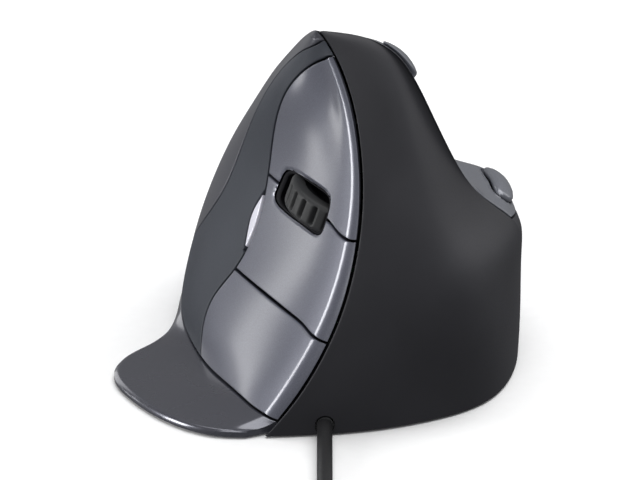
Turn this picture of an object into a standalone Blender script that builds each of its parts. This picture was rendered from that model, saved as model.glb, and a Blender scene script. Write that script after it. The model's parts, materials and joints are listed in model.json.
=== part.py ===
"""Right-handed vertical computer mouse with a USB cord, as separate working parts.

Run with: blender --background --python part.py

Sizes below are millimetres and become metres through MM. +Z is up, the front of the mouse
faces -Y and its thumb side faces +X. The origin lies on the desk under the body's middle.

The body's outer form is one smooth skin through upright guide curves. A place on it is (r, k):
r counts the guide curves from the groove round the front and thumb side to the groove again,
and k counts the levels from the base, 0, to the tip, 10. Every cover is a piece of that skin.
"""
import math

import bmesh
import bpy
import numpy as np
from mathutils import Matrix, Vector

MM = 0.001

# Clearances and wall sizes.
SEAM_GAP = 0.35          # between two fixed covers
GROOVE_GAP = 1.0         # open groove beside the finger buttons
FIT = 0.35               # between an inner piece and its neighbour
WALL = 2.0               # covers
BUTTON_WALL = 1.4        # finger buttons
BASE_Z = 0.5             # lower edge of the covers, held up by the glide feet

# Scroll wheel, in its slot across the seam of the top and middle buttons.
WHEEL_PLACE = (12.95, 4.035)
SLOT_HALF = (0.60, 0.42)
SLOT_LEAN = 0.07
WHEEL_RADIUS = 10.6
WHEEL_WIDTH = 5.7
WHEEL_PROUD = 3.1
AXLE_RADIUS = 1.1
RIBS = 22

# Thumb buttons: place on the skin, half size there, and height above the skin.
THUMB_BUTTONS = {"thumb_button_upper": ((4.62, 8.2), (0.40, 0.60), 1.5),
                 "thumb_button_lower": ((5.05, 3.85), (0.62, 0.42), 0.6)}

# Cord, and its coil of stored length in front of the mouse.
CORD_X = 1.4
CORD_D = 3.0
EXIT_Z = 2.3
COIL_CENTRE = (-20.6, -130.0)
COIL_INNER, COIL_OUTER, COIL_LOW, COIL_HIGH = 10.4, 25.8, 1.0, 11.2

# Base plate, inner frame and boards.
PLATE_LOW, PLATE_HIGH = 0.7, 3.0
FRAME_LOW = PLATE_HIGH + 0.3
FRAME_X = 10.0
BOARD_Z = 5.6
BOARD_POSTS = [(-6.5, -28.0), (20.5, -28.0), (-6.5, -9.0), (20.5, -9.0)]
SENSOR = (6.0, -20.0)
SCREWS = [(FRAME_X - 3.6, 2.0), (FRAME_X + 3.6, 10.0), (FRAME_X - 3.6, 18.0)]
PLUG = (COIL_CENTRE[0] + 38.6, COIL_CENTRE[1] - 9.0, 4.0)

# Guide curves of the skin, base to tip.
TIP = (-0.2, -21.0, 73.4)
GUIDES = [
    # 0, the groove, front side
    [(-11, -50.6, 0), (-4.4, -49.8, 8), (1.6, -47.6, 18), (5.6, -44.4, 28), (7.8, -40.3, 38),
     (8.4, -35.6, 48), (7.3, -30.1, 58), (5.0, -25.7, 65.4), (2.6, -23.0, 70), (1.0, -21.8, 72.3)],
    # 1 to 3, the front face
    [(6, -48.6, 0), (8, -48, 8), (11, -46, 18), (14, -42.6, 28), (15.0, -38.2, 38),
     (14.6, -33.2, 47), (12.8, -28.4, 56.8), (9.8, -24.6, 65), (6.6, -22.4, 69.8), (3.6, -21.4, 72.2)],
    [(21, -43.2, 0), (21.6, -43, 8), (22.8, -42, 18), (23.5, -38.6, 28), (22.6, -34, 36.5),
     (20.4, -29.2, 46), (17.6, -25.2, 56), (14.4, -22.2, 64.6), (10.8, -20.8, 69.7), (6.2, -20.6, 72)],
    [(34.4, -31.4, 0), (34.6, -31.6, 8.5), (33.8, -31.6, 18), (31.8, -30.2, 27.5), (28.8, -26, 34),
     (25.2, -22.4, 43), (21.6, -20.2, 52.5), (18, -19, 61.6), (14.2, -18.9, 68), (8.4, -19.8, 71.7)],
    # 4, the thumb edge, where the front face turns into the thumb rest
    [(39.6, -11, 0), (40, -10, 9), (40, -9, 19), (39.6, -9, 27), (35.6, -12.2, 32.6),
     (30.6, -16, 38.6), (26.6, -18.4, 46), (22.3, -19, 55.5), (17.6, -19, 64.8), (11, -19.5, 70.6)],
    # 5 to 7, the thumb rest over its ledge
    [(38.5, 4, 0), (39.0, 4, 9), (39, 4, 19), (38.4, 3.5, 27), (36.0, 2, 32.4),
     (28.4, 0, 34.2), (23, -2, 41), (19.5, -4, 52), (16.5, -7, 61.5), (11.2, -13, 68.3)],
    [(35, 18, 0), (35, 18, 9), (34.5, 18, 18), (33.6, 17.5, 26), (31.2, 16.5, 30.2),
     (25.6, 14.5, 32.6), (21, 12, 39.5), (17.8, 8, 49), (15.4, 3, 57.5), (10.2, -6, 65.3)],
    [(27, 33, 0), (27, 33, 9), (26, 32.5, 17), (24.5, 31, 23.5), (22.8, 29.5, 27.5),
     (20.5, 27.5, 31.8), (18, 25, 37.6), (15.5, 20, 45.5), (13, 12, 54), (8.6, -1, 62.6)],
    # 8, the ridge, 9, the back, and 10, the palm
    [(13, 48, 0), (13, 47.5, 9), (12.5, 45.5, 18), (12, 42.5, 25.5), (11.5, 39, 31),
     (11, 35, 36.5), (10.2, 30, 42.5), (8.8, 23, 49.5), (7, 13, 57), (4.3, -1, 64.3)],
    [(-2, 50.8, 0), (-2, 50.2, 8), (-2, 47.6, 17), (-1.8, 44, 25), (-1.5, 40, 31),
     (-1.2, 35.5, 37), (-0.8, 30, 43.2), (-0.5, 22.5, 50.3), (0, 11.5, 58.2), (0.8, -4, 65.8)],
    [(-16, 42, 0), (-15.8, 41.5, 8), (-15, 39, 17), (-13.5, 35.5, 25.5), (-11.8, 31.5, 33),
     (-9.8, 27, 40), (-7.6, 21.5, 47), (-5.4, 14, 54), (-3, 5, 61), (-1, -7, 67.6)],
    # 11 to 14, the finger side
    [(-26.6, 19, 0), (-25.9, 18, 8), (-23.9, 17, 18), (-20.6, 15.5, 28), (-16.8, 13, 37.5),
     (-12.7, 9, 46.5), (-8.7, 4, 55), (-5.3, -2.5, 61.8), (-2.9, -9, 67), (-1.2, -15, 70.7)],
    [(-25.6, -8, 0), (-24.2, -8.5, 8), (-19.3, -8.5, 18), (-14.2, -7.5, 28), (-11.2, -6, 38),
     (-9, -7.5, 48), (-6.5, -11.5, 57), (-3.9, -14.5, 63.7), (-1.9, -17.5, 68.7), (-0.8, -19.4, 71.9)],
    [(-19.3, -32.5, 0), (-15, -32.5, 8), (-9.2, -31, 18), (-4.6, -28, 28), (-1.6, -25, 38),
     (0, -23, 48), (1.0, -21.8, 57.5), (0.9, -21.2, 64.5), (0.4, -20.8, 69.4), (0, -20.6, 72.1)],
    [(-14.9, -43.5, 0), (-9.4, -43.5, 8), (-3.2, -41.6, 18), (1.0, -38.4, 28), (3.6, -34.6, 38),
     (4.8, -30.8, 48), (4.5, -26.8, 57.8), (3.1, -23.9, 65), (1.6, -21.8, 69.8), (0.5, -21.2, 72.2)],
]
GUIDES.append(GUIDES[0])                                   # 15, the groove, finger side
CAGE = np.array([guide + [TIP] for guide in GUIDES], float)
THUMB_EDGE, RIDGE, GROOVE = 4, 8, 15
LEVELS = CAGE.shape[1]
BASE_K = 0.06


# ---------------------------------------------------------------- the skin

def smoothstep(x):
    x = np.clip(x, 0, 1)
    return x * x * (3 - 2 * x)


def spline_weights(count, at):
    """Weights of the natural cubic spline through count points, at positions 0 to count - 1."""
    at = np.clip(at, 0, count - 1)
    i = np.minimum(at.astype(int), count - 2)
    f = at - i
    system, second = np.eye(count), np.zeros((count, count))
    for n in range(1, count - 1):
        system[n, n - 1:n + 2] = 1, 4, 1
        second[n, n - 1:n + 2] = 6, -12, 6
    bend = np.linalg.solve(system, second)
    unit = np.eye(count)
    low, high = 1 - f, f
    return (low[:, None] * unit[i] + high[:, None] * unit[i + 1]
            + ((low ** 3 - low) / 6)[:, None] * bend[i]
            + ((high ** 3 - high) / 6)[:, None] * bend[i + 1])


def through(cage, r, up):
    rails = spline_weights(len(cage), r) @ cage.reshape(len(cage), -1)
    return (rails.reshape(-1, LEVELS, 3) * up[:, :, None]).sum(1)


def skin(r, k):
    """Points of the skin. It is round at the thumb edge below the ledge, and has an edge above."""
    r, k = np.broadcast_arrays(np.asarray(r, float), np.asarray(k, float))
    shape = r.shape
    r, k = r.ravel(), k.ravel()
    up = spline_weights(LEVELS, k)
    whole = through(CAGE, r, up)
    front = through(CAGE[:THUMB_EDGE + 1], np.minimum(r, THUMB_EDGE), up)
    side = through(CAGE[THUMB_EDGE:], np.maximum(r, THUMB_EDGE) - THUMB_EDGE, up)
    edged = np.where((r < THUMB_EDGE)[:, None], front, side)
    sharp = smoothstep((k - 2.6) / 1.0)[:, None]
    return (whole + (edged - whole) * sharp).reshape(shape + (3,))


def unit(vectors):
    return vectors / (np.linalg.norm(vectors, axis=-1, keepdims=True) + 1e-12)


def slopes(r, k, step=0.01):
    """The skin's two derivatives, in mm per unit of r and of k."""
    r, k = np.broadcast_arrays(np.asarray(r, float), np.asarray(k, float))
    start = np.where(r < THUMB_EDGE, 0, THUMB_EDGE)
    end = np.where(r < THUMB_EDGE, THUMB_EDGE - 1e-6, GROOVE)
    lo, hi = np.maximum(r - step, start), np.minimum(r + step, end)
    along = (skin(hi, k) - skin(lo, k)) / (hi - lo)[..., None]
    lo, hi = np.maximum(k - step, 0), np.minimum(k + step, LEVELS - 1)
    return along, (skin(r, hi) - skin(r, lo)) / (hi - lo)[..., None]


def outward(r, k):
    """Direction square to the skin; near the tip, where the skin closes, that of a lower level."""
    return unit(np.cross(*slopes(r, np.minimum(k, np.where(np.asarray(r) < THUMB_EDGE, 8.2, 9.7)))))


def inward(r, k):
    """Direction in which walls grow: square to the skin, shared by the two sides of an edge."""
    r, k = np.broadcast_arrays(np.asarray(r, float), np.asarray(k, float))
    edge = outward(np.full(r.shape, THUMB_EDGE - 1e-3), k) + outward(np.full(r.shape, THUMB_EDGE), k)
    groove = outward(np.zeros(r.shape), k) + outward(np.full(r.shape, GROOVE), k)
    span = np.linalg.norm(slopes(r, np.minimum(k, 9.0))[0], axis=-1)
    near_edge = np.exp(-((r - THUMB_EDGE) * span / 5.5) ** 2)[..., None]
    near_groove = np.exp(-(np.minimum(r, GROOVE - r) / 0.3) ** 2)[..., None]
    out = outward(r, k) * (1 - near_edge - near_groove)
    out = out + unit(edge) * near_edge + unit(groove) * near_groove
    at_tip = smoothstep((k - 7.0) / 2.0)[..., None]
    downward = np.stack([0.25 * smoothstep(k - 8), np.full(k.shape, 0.66), np.full(k.shape, -0.71)], -1)
    return unit(-unit(out) * (1 - at_tip) + downward * at_tip)


def place(r, k, depth):
    """Points at a depth under the skin, never lower than the covers' lower edge."""
    depth = np.asarray(depth, float)
    points = skin(r, k) + inward(r, k) * depth[..., None]
    points[..., 2] = np.maximum(points[..., 2], BASE_Z)
    return points


# ---------------------------------------------------------------- seams between the covers

def seam(*points):
    """A smooth line through (along, across) points, as a function of along."""
    points = np.array(points, float)
    line = spline_weights(len(points), np.linspace(0, len(points) - 1, 300)) @ points
    return lambda along: np.interp(along, line[:, 0], line[:, 1])


# Upright seams give r at a level k.
PANEL_REAR = seam((0.2, 12.36), (0.8, 12.23), (1.5, 12.12), (2.2, 12.18), (3.0, 12.18), (4.0, 12.14),
                  (5.0, 12.06), (6.0, 12.04), (6.8, 12.24), (7.25, 12.56), (7.5, 13.05), (7.66, 14.0),
                  (7.75, 15.1))
BAND_REAR = seam((0.8, 10.4), (1.2, 10.8), (1.7, 11.1), (2.3, 11.3), (3.0, 11.43), (3.8, 11.47),
                 (4.6, 11.44), (5.3, 11.41), (6.0, 11.44), (6.6, 11.5), (7.2, 11.64), (7.8, 11.94),
                 (8.2, 12.5),
                 (8.45, 13.3), (8.6, 14.3), (8.66, 15.1))
LENS_REAR = seam((2.55, 12.17), (2.8, 12.1), (3.1, 12.05), (3.4, 12.07), (3.72, 12.15))
# Level seams give k at a place r round the body.
BUTTON_SEAM_TOP = seam((12, 4.05), (12.6, 4.01), (13.3, 4.0), (13.7, 3.98), (14.05, 3.91), (14.4, 3.87),
                       (14.7, 3.88), (15, 3.95))
BUTTON_SEAM_LOW = seam((12, 2.2), (12.6, 2.21), (13.2, 2.2), (13.8, 2.17), (14.25, 2.09), (14.65, 2.06),
                       (15, 2.06))
LIP_SEAM = seam((8, 0.8), (9, 0.8), (10, 0.8), (10.6, 0.78), (11.1, 0.68), (11.5, 0.52), (11.9, 0.41),
                (12.4, 0.36), (12.8, 0.42), (13.3, 0.47), (14, 0.46), (15, 0.46))
LEDGE_SEAM = seam((4, 3.42), (4.4, 3.19), (5, 3.06), (6, 3.0), (7, 2.9), (8, 2.85))


def upright(line, shift=0.0):
    """The upright seam moved sideways by shift mm, measured square to the seam."""
    def moved(k):
        r = np.clip(line(k), 0, GROOVE)
        along, up = (np.linalg.norm(s, axis=-1) for s in slopes(r, k))
        lean = (line(k + 0.01) - line(k - 0.01)) / 0.02 * along / up
        return np.clip(r + shift * np.sqrt(1 + np.minimum(lean ** 2, 9)) / along, 0, GROOVE)
    return moved


def level(line, shift=0.0):
    """The level seam moved up by shift mm, measured square to the seam."""
    def moved(r):
        k = line(r)
        along, up = (np.linalg.norm(s, axis=-1) for s in slopes(r, k))
        lean = (line(r + 0.01) - line(r - 0.01)) / 0.02 * up / along
        return k + shift * np.sqrt(1 + lean ** 2) / up
    return moved


def fixed(value):
    return lambda at: np.full(np.shape(at), float(value))


def strip(left, right, low, high, rows, columns, crowd=1.0):
    """A grid of (r, k) between two upright and two level seams. crowd > 1 packs rows at the top."""
    s, t = np.meshgrid(np.linspace(0, 1, columns), 1 - (1 - np.linspace(0, 1, rows)) ** crowd)
    r = left(t) + (right(t) - left(t)) * s
    k = low(r) + (high(r) - low(r)) * t
    for _ in range(12):
        r = left(k) + (right(k) - left(k)) * s
        k = low(r) + (high(r) - low(r)) * t
    return r, k


def cushion_grid(centre, half, steps, lean=0.0, roundness=0.55):
    """A grid of (r, k) over a rectangle with round corners, leaning sideways with height."""
    s, t = np.meshgrid(np.linspace(-1, 1, steps), np.linspace(-1, 1, steps))
    x = s * np.sqrt(1 - roundness * t * t / 2)
    y = t * np.sqrt(1 - roundness * s * s / 2)
    return centre[0] + half[0] * x + lean * y, centre[1] + half[1] * y


# ---------------------------------------------------------------- building objects

for old in list(bpy.data.objects):
    bpy.data.objects.remove(old, do_unlink=True)

PARTS = bpy.data.collections.new("computer_mouse")
CUTTERS = bpy.data.collections.new("cutters")
for collection in (PARTS, CUTTERS):
    bpy.context.scene.collection.children.link(collection)


def material(name, colour, roughness, metallic=0.0, alpha=1.0):
    made = bpy.data.materials.new(name)
    made.use_nodes = True
    shader = made.node_tree.nodes["Principled BSDF"]
    shader.inputs["Base Color"].default_value = (*colour, 1.0)
    shader.inputs["Roughness"].default_value = roughness
    shader.inputs["Metallic"].default_value = metallic
    shader.inputs["Alpha"].default_value = alpha
    return made


BUTTON_GREY = material("button_grey", (0.165, 0.170, 0.205), 0.22, 0.55)
PALM_GREY = material("palm_grey", (0.150, 0.155, 0.180), 0.28, 0.45)
BAND_SLATE = material("band_slate", (0.062, 0.070, 0.082), 0.55)
SHELL_BLACK = material("shell_black", (0.040, 0.040, 0.046), 0.50)
THUMB_GREY = material("thumb_grey", (0.270, 0.285, 0.320), 0.30, 0.30)
INNER_BLACK = material("inner_black", (0.012, 0.012, 0.014), 0.60)
RUBBER = material("rubber_black", (0.022, 0.023, 0.023), 0.60)
LENS_WHITE = material("lens_white", (0.700, 0.690, 0.820), 0.20)
BOARD_GREEN = material("board_green", (0.020, 0.120, 0.050), 0.45)
CHIP_BLACK = material("chip_black", (0.020, 0.020, 0.022), 0.40)
CLEAR = material("clear_plastic", (0.800, 0.850, 0.900), 0.08, 0.0, 0.4)
STEEL = material("steel", (0.600, 0.600, 0.620), 0.28, 1.0)
GLIDE_DARK = material("glide_dark", (0.055, 0.055, 0.060), 0.35)
CONTACT_WHITE = material("switch_white", (0.650, 0.640, 0.600), 0.40)
CORD_BLACK = material("cord_black", (0.014, 0.014, 0.015), 0.50)


def add_object(name, mesh, look, origin=(0, 0, 0), collection=PARTS):
    """Link a mesh, given in metres about its origin, as a part."""
    made = bpy.data.objects.new(name, mesh)
    made.location = Vector(origin) * MM
    if look:
        mesh.materials.append(look)
    collection.objects.link(made)
    return made


def add_mesh(name, points, faces, look, origin=(0, 0, 0), collection=PARTS):
    mesh = bpy.data.meshes.new(name)
    local = (np.asarray(points, float) - np.asarray(origin, float)) * MM
    mesh.from_pydata([tuple(p) for p in local], [], faces)
    mesh.update()
    return add_object(name, mesh, look, origin, collection)


def walled(name, outer, inner, look, kept=None, origin=(0, 0, 0), collection=PARTS):
    """The closed solid between two matching grids of points, over the kept cells."""
    rows, columns = outer.shape[:2]
    index = np.arange(rows * columns).reshape(rows, columns)
    under = rows * columns
    faces, edges = [], {}
    for i in range(rows - 1):
        for j in range(columns - 1):
            if kept is not None and not kept[i, j]:
                continue
            cell = [int(n) for n in (index[i, j], index[i, j + 1], index[i + 1, j + 1], index[i + 1, j])]
            faces.append(cell)
            faces.append([n + under for n in reversed(cell)])
            for a, b in zip(cell, cell[1:] + cell[:1]):
                edges[a, b] = True
    for a, b in edges:
        if (b, a) not in edges:
            faces.append([b, a, a + under, b + under])
    points = np.concatenate([outer.reshape(-1, 3), inner.reshape(-1, 3)])
    used = sorted({n for face in faces for n in face})
    renumber = {n: m for m, n in enumerate(used)}
    faces = [[renumber[n] for n in face] for face in faces]
    made = add_mesh(name, points[used], faces, look, origin, collection)
    made.data.shade_smooth()
    made.data.set_sharp_from_angle(angle=math.radians(35))
    return made


def cover(name, grid, look, thickness=WALL, proud=0.0, kept=None, origin=(0, 0, 0)):
    """A cover: the skin over a grid of (r, k), with a wall inside it that thins towards the tip."""
    r, k = grid
    wall = thickness * (1 - 0.5 * smoothstep((k - 5.5) / 2.5))
    return walled(name, place(r, k, np.full(r.shape, -proud)), place(r, k, wall), look, kept, origin)


def hide_cutter(cutter):
    cutter.hide_render = True
    cutter.display_type = "WIRE"
    return cutter


def cut(target, cutter):
    modifier = target.modifiers.new("cut_" + cutter.name, "BOOLEAN")
    modifier.operation = "DIFFERENCE"
    modifier.object = cutter
    return target


def opening(name, centre, half, lean=0.0, above=4.0, below=7.0, steps=9, flare=1.0):
    """A cutter through a cover, over a round-cornered place on the skin; it may widen inwards."""
    r, k = cushion_grid(centre, half, steps, lean)
    top = place(r, k, np.full(r.shape, -above))
    r, k = centre[0] + (r - centre[0]) * flare, centre[1] + (k - centre[1]) * flare
    low = place(r, k, np.full(r.shape, below))
    return hide_cutter(walled(name, top, low, None, collection=CUTTERS))


def axes_matrix(centre, x_axis, z_axis):
    """Placing matrix, in metres, with a local x and z axis along the given directions."""
    z = Vector(z_axis).normalized()
    x = Vector(x_axis)
    x = (x - z * x.dot(z)).normalized()
    turn = Matrix((x, z.cross(x), z)).transposed().to_4x4()
    return Matrix.Translation(Vector(centre) * MM) @ turn


def box(name, centre, size, look, x_axis=(1, 0, 0), z_axis=(0, 0, 1), bevel=0.0, collection=PARTS):
    mesh = bpy.data.meshes.new(name)
    made = bmesh.new()
    bmesh.ops.create_cube(made, size=1.0)
    bmesh.ops.scale(made, vec=Vector(size) * MM, verts=made.verts)
    made.to_mesh(mesh)
    made.free()
    block = add_object(name, mesh, look, collection=collection)
    block.matrix_world = axes_matrix(centre, x_axis, z_axis)
    if bevel:
        rounding = block.modifiers.new("round", "BEVEL")
        rounding.width = bevel * MM
        rounding.segments = 2
    return block


def cylinder(name, centre, radius, height, look, z_axis=(0, 0, 1), sides=24, collection=PARTS):
    mesh = bpy.data.meshes.new(name)
    made = bmesh.new()
    bmesh.ops.create_cone(made, cap_ends=True, segments=sides, radius1=radius * MM, radius2=radius * MM,
                          depth=height * MM)
    made.to_mesh(mesh)
    made.free()
    mesh.shade_smooth()
    mesh.set_sharp_from_angle(angle=math.radians(40))
    rod = add_object(name, mesh, look, collection=collection)
    helper = (1, 0, 0) if abs(Vector(z_axis).normalized().x) < 0.8 else (0, 1, 0)
    rod.matrix_world = axes_matrix(centre, helper, z_axis)
    return rod


def turned(name, profile, look, centre=(0, 0, 0), z_axis=(0, 0, 1), steps=24):
    """A turned piece: a profile of (radius, height) points, run down its outer side.

    A profile that starts on the axis is solid; any other is closed into a ring.
    """
    mesh = bpy.data.meshes.new(name)
    edges = [(n, n + 1) for n in range(len(profile) - 1)]
    if profile[0][0] > 0:
        edges.append((len(profile) - 1, 0))
    mesh.from_pydata([(x * MM, 0, z * MM) for x, z in profile], edges, [])
    made = add_object(name, mesh, look)
    lathe = made.modifiers.new("turn", "SCREW")
    lathe.angle = math.tau
    lathe.steps = steps
    lathe.render_steps = steps
    lathe.use_merge_vertices = True
    lathe.merge_threshold = 0.00001
    lathe.use_smooth_shade = True
    helper = (1, 0, 0) if abs(Vector(z_axis).normalized().x) < 0.8 else (0, 1, 0)
    made.matrix_world = axes_matrix(centre, helper, z_axis)
    return made


def prism(name, outline, low, high, look, collection=PARTS):
    """An upright prism over a plan outline, drawn anticlockwise."""
    count = len(outline)
    points = [(x, y, z) for z in (low, high) for x, y in outline]
    faces = [list(reversed(range(count))), list(range(count, 2 * count))]
    faces += [[n, (n + 1) % count, (n + 1) % count + count, n + count] for n in range(count)]
    return add_mesh(name, points, faces, look, collection=collection)


# ---------------------------------------------------------------- covers

def make_front_shell():
    """The front face, and the wall that it continues into under the thumb ledge."""
    front, side, low_rows, high_rows = 13, 13, 6, 16
    ledge = level(LEDGE_SEAM, -SEAM_GAP / 2)
    corner = float(ledge(np.array([4.0]))[0])
    r_front = np.linspace(0, THUMB_EDGE, front)
    r_side = np.linspace(THUMB_EDGE, RIDGE, side)[1:]
    t = np.linspace(0, 1, low_rows)[:, None]
    columns = np.concatenate([r_front, r_side])
    top = np.concatenate([np.full(front, corner), ledge(r_side)])
    k_low = BASE_K + (top[None, :] - BASE_K) * t
    k_high = corner + (9.85 - corner) * (np.linspace(0, 1, high_rows)[1:, None]) * np.ones(len(columns))
    k = np.concatenate([k_low, k_high])
    r = np.repeat(columns[None, :], len(k), 0)
    along = np.linalg.norm(slopes(r, k)[0], axis=-1)
    from_left = SEAM_GAP / np.linalg.norm(slopes(np.zeros(len(k)), k[:, 0])[0], axis=-1)
    at_edge = k[:, front - 1] > corner + 0.01
    edge_slope = slopes(np.full(len(k), 3.999), k[:, front - 1])[0]
    from_right = at_edge * SEAM_GAP * 0.6 / np.linalg.norm(edge_slope, axis=-1)
    s = r_front / THUMB_EDGE
    r[:, :front] = from_left[:, None] * (1 - s) + (THUMB_EDGE - from_right[:, None]) * s
    end = SEAM_GAP / 2 / along[:, -1]
    stretch = np.linspace(0, 1, side)[1:]
    r[:, front:] = THUMB_EDGE + (RIDGE - THUMB_EDGE - end[:, None]) * stretch
    kept = np.ones((len(k) - 1, len(columns) - 1), bool)
    kept[low_rows - 1:, front - 1:] = False
    shell = cover("front_shell", (r, k), SHELL_BLACK, kept=kept)
    notch = cylinder("cord_notch", (CORD_X, -48.5, BASE_Z + 1.4), 2.4, 9, None, (0, 1, 0), 20, CUTTERS)
    return cut(shell, hide_cutter(notch))


def make_palm_shell():
    rear, groove = upright(BAND_REAR, -SEAM_GAP / 2), upright(fixed(GROOVE), -SEAM_GAP)
    grid = strip(upright(fixed(RIDGE), SEAM_GAP / 2), lambda k: np.minimum(rear(k), groove(k)),
                 level(LIP_SEAM, SEAM_GAP / 2), fixed(9.9), 21, 13)
    return cover("palm_shell", grid, PALM_GREY)


def make_grip_band():
    """The dark band between the palm shell and the finger buttons, with room for the lens."""
    rear = upright(BAND_REAR, SEAM_GAP / 2)
    front = upright(PANEL_REAR, -SEAM_GAP / 2)
    lens = upright(LENS_REAR, -SEAM_GAP / 2)
    groove = upright(fixed(GROOVE), -SEAM_GAP)

    def front_edge(k):
        beside_lens = (k > 2.55) & (k < 3.72)
        return np.where(beside_lens, np.minimum(lens(k), front(k)), front(k))
    grid = strip(rear, lambda k: np.minimum(front_edge(k), groove(k)), level(LIP_SEAM, SEAM_GAP / 2),
                 fixed(8.56), 32, 7)
    return cover("grip_band", grid, BAND_SLATE)


def button_grid(low, high, rows, columns, crowd=1.0):
    return strip(upright(PANEL_REAR, SEAM_GAP), upright(fixed(GROOVE), -GROOVE_GAP), low, high,
                 rows, columns, crowd)


HINGES = {"button_top": ((12.3, 4.4), (12.3, 6.4)), "button_middle": ((12.35, 2.4), (12.35, 3.8)),
          "button_bottom": ((12.4, 0.6), (12.35, 2.0))}
HINGE_DEPTH = 3.0


def hinge_line(name):
    """Two points of a finger button's hinge, inside its rear edge."""
    (r_a, k_a), (r_b, k_b) = HINGES[name]
    ends = place(np.array([r_a, r_b]), np.array([k_a, k_b]), np.full(2, HINGE_DEPTH))
    return ends[0], ends[1]


def make_finger_buttons():
    slot = opening("wheel_slot", WHEEL_PLACE, SLOT_HALF, SLOT_LEAN, 0.4, 3.0, flare=1.3)
    half = SEAM_GAP / 2 + 0.05
    tip = fixed(7.71)
    plans = {"button_top": (level(BUTTON_SEAM_TOP, half), tip, 14, 10, 1.6),
             "button_middle": (level(BUTTON_SEAM_LOW, half), level(BUTTON_SEAM_TOP, -half), 8, 10, 1.0),
             "button_bottom": (level(LIP_SEAM, half), level(BUTTON_SEAM_LOW, -half), 8, 10, 1.0)}
    for name, (low, high, rows, columns, crowd) in plans.items():
        made = cover(name, button_grid(low, high, rows, columns, crowd), BUTTON_GREY, BUTTON_WALL,
                     origin=tuple(hinge_line(name)[0]))
        if name != "button_bottom":
            cut(made, slot)


def make_status_lens():
    half = SEAM_GAP / 2
    grid = strip(upright(LENS_REAR, half), upright(PANEL_REAR, -half - 0.3), fixed(2.66), fixed(3.6), 12, 4)
    return cover("status_lens", grid, LENS_WHITE, 1.6)


def make_thumb_panel():
    grid = strip(upright(fixed(THUMB_EDGE), SEAM_GAP * 0.6), upright(fixed(RIDGE), -SEAM_GAP / 2),
                 level(LEDGE_SEAM, SEAM_GAP * 0.8), fixed(9.5), 20, 13)
    panel = cover("thumb_panel", grid, THUMB_GREY)
    for name, (centre, half, proud) in THUMB_BUTTONS.items():
        grown = tuple(h + g for h, g in zip(half, (0.05, 0.09)))
        cut(panel, opening("hole_" + name, centre, grown, above=1.5, below=3.5))
        cover(name, cushion_grid(centre, half, 9), THUMB_GREY, 2.2, proud,
              origin=tuple(place(np.array(centre[0]), np.array(centre[1]), np.array(0.0))))
    return panel


# Rim of the finger lip: (r, X, Y) round the finger side, at the level of the base.
LIP_RIM = np.array([
    (8, 13.0, 48.4), (9, -2.0, 51.0), (10, -16.3, 42.2), (10.6, -23.2, 31.0), (11.0, -27.0, 19.4),
    (11.3, -28.0, 10.0), (11.6, -29.4, 0.5), (11.85, -32.2, -6.5), (12.15, -36.4, -11.8),
    (12.5, -39.4, -17.2), (12.8, -39.8, -24.0), (13.15, -37.2, -31.5), (13.5, -32.6, -39.4),
    (13.9, -27.0, -45.9), (14.3, -21.2, -49.8), (14.7, -16.0, -50.9), (15, -12.2, -50.7)])
LIP_TOP = 1.9


def make_finger_lip():
    """The ledge for the little finger: a hollow-sided skirt that runs out to a thin rim."""
    r = np.concatenate([np.linspace(8, 11, 8)[:-1], np.linspace(11, 15, 23)])
    along = np.linalg.norm(slopes(r, np.full(r.shape, 0.3))[0], axis=-1)
    r[0] += SEAM_GAP / 2 / along[0]
    r[-1] -= GROOVE_GAP / along[-1]
    count = len(LIP_RIM)
    line = spline_weights(count, np.linspace(0, count - 1, 400)) @ LIP_RIM
    rim = np.stack([np.interp(r, line[:, 0], line[:, 1]), np.interp(r, line[:, 0], line[:, 2])], -1)
    k = level(LIP_SEAM, -SEAM_GAP / 2)(r)
    top = place(r, k, np.zeros(r.shape))
    back = place(r, k, np.full(r.shape, WALL))
    reach = np.linalg.norm(rim - top[:, :2], axis=-1)
    flange = smoothstep((reach - 1.5) / 5.0)
    rows = []
    for w in (0, 0.16, 0.34, 0.55, 0.78, 0.94, 1.0):
        plan = top[:, :2] + (rim - top[:, :2]) * w
        straight = top[:, 2] + (BASE_Z + 0.2 - top[:, 2]) * w
        hollow = LIP_TOP + (top[:, 2] - LIP_TOP) * (1 - w) ** 2.4 - (0.6 if w == 1.0 else 0.0)
        rows.append(np.column_stack([plan, straight + (hollow - straight) * flange]))
    rows.append(np.column_stack([rim, np.full(len(r), BASE_Z)]))
    rows.append(np.column_stack([back[:, :2], np.full(len(r), BASE_Z)]))
    rows.append(back)
    ring = np.stack(rows)
    stations, across = len(r), len(rows)
    points = ring.transpose(1, 0, 2).reshape(-1, 3)
    faces = []
    for i in range(stations - 1):
        for j in range(across):
            a, b = i * across + j, i * across + (j + 1) % across
            faces.append([b + across, a + across, a, b])
    faces.append(list(reversed(range(across))))
    faces.append([(stations - 1) * across + j for j in range(across)])
    lip = add_mesh("finger_lip", points, faces, PALM_GREY)
    lip.data.shade_smooth()
    lip.data.set_sharp_from_angle(angle=math.radians(40))
    return lip


# ---------------------------------------------------------------- scroll wheel

def wheel_axes():
    """Centre on the skin, axle direction, outward direction and rolling direction."""
    r, k = (np.array(value) for value in WHEEL_PLACE)
    along, up = slopes(r, k)
    out = outward(r, k)
    axle = unit(SLOT_LEAN * along + SLOT_HALF[1] * up)
    axle = unit(axle - out * (axle @ out))
    return skin(r, k), axle, out, np.cross(axle, out)


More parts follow.
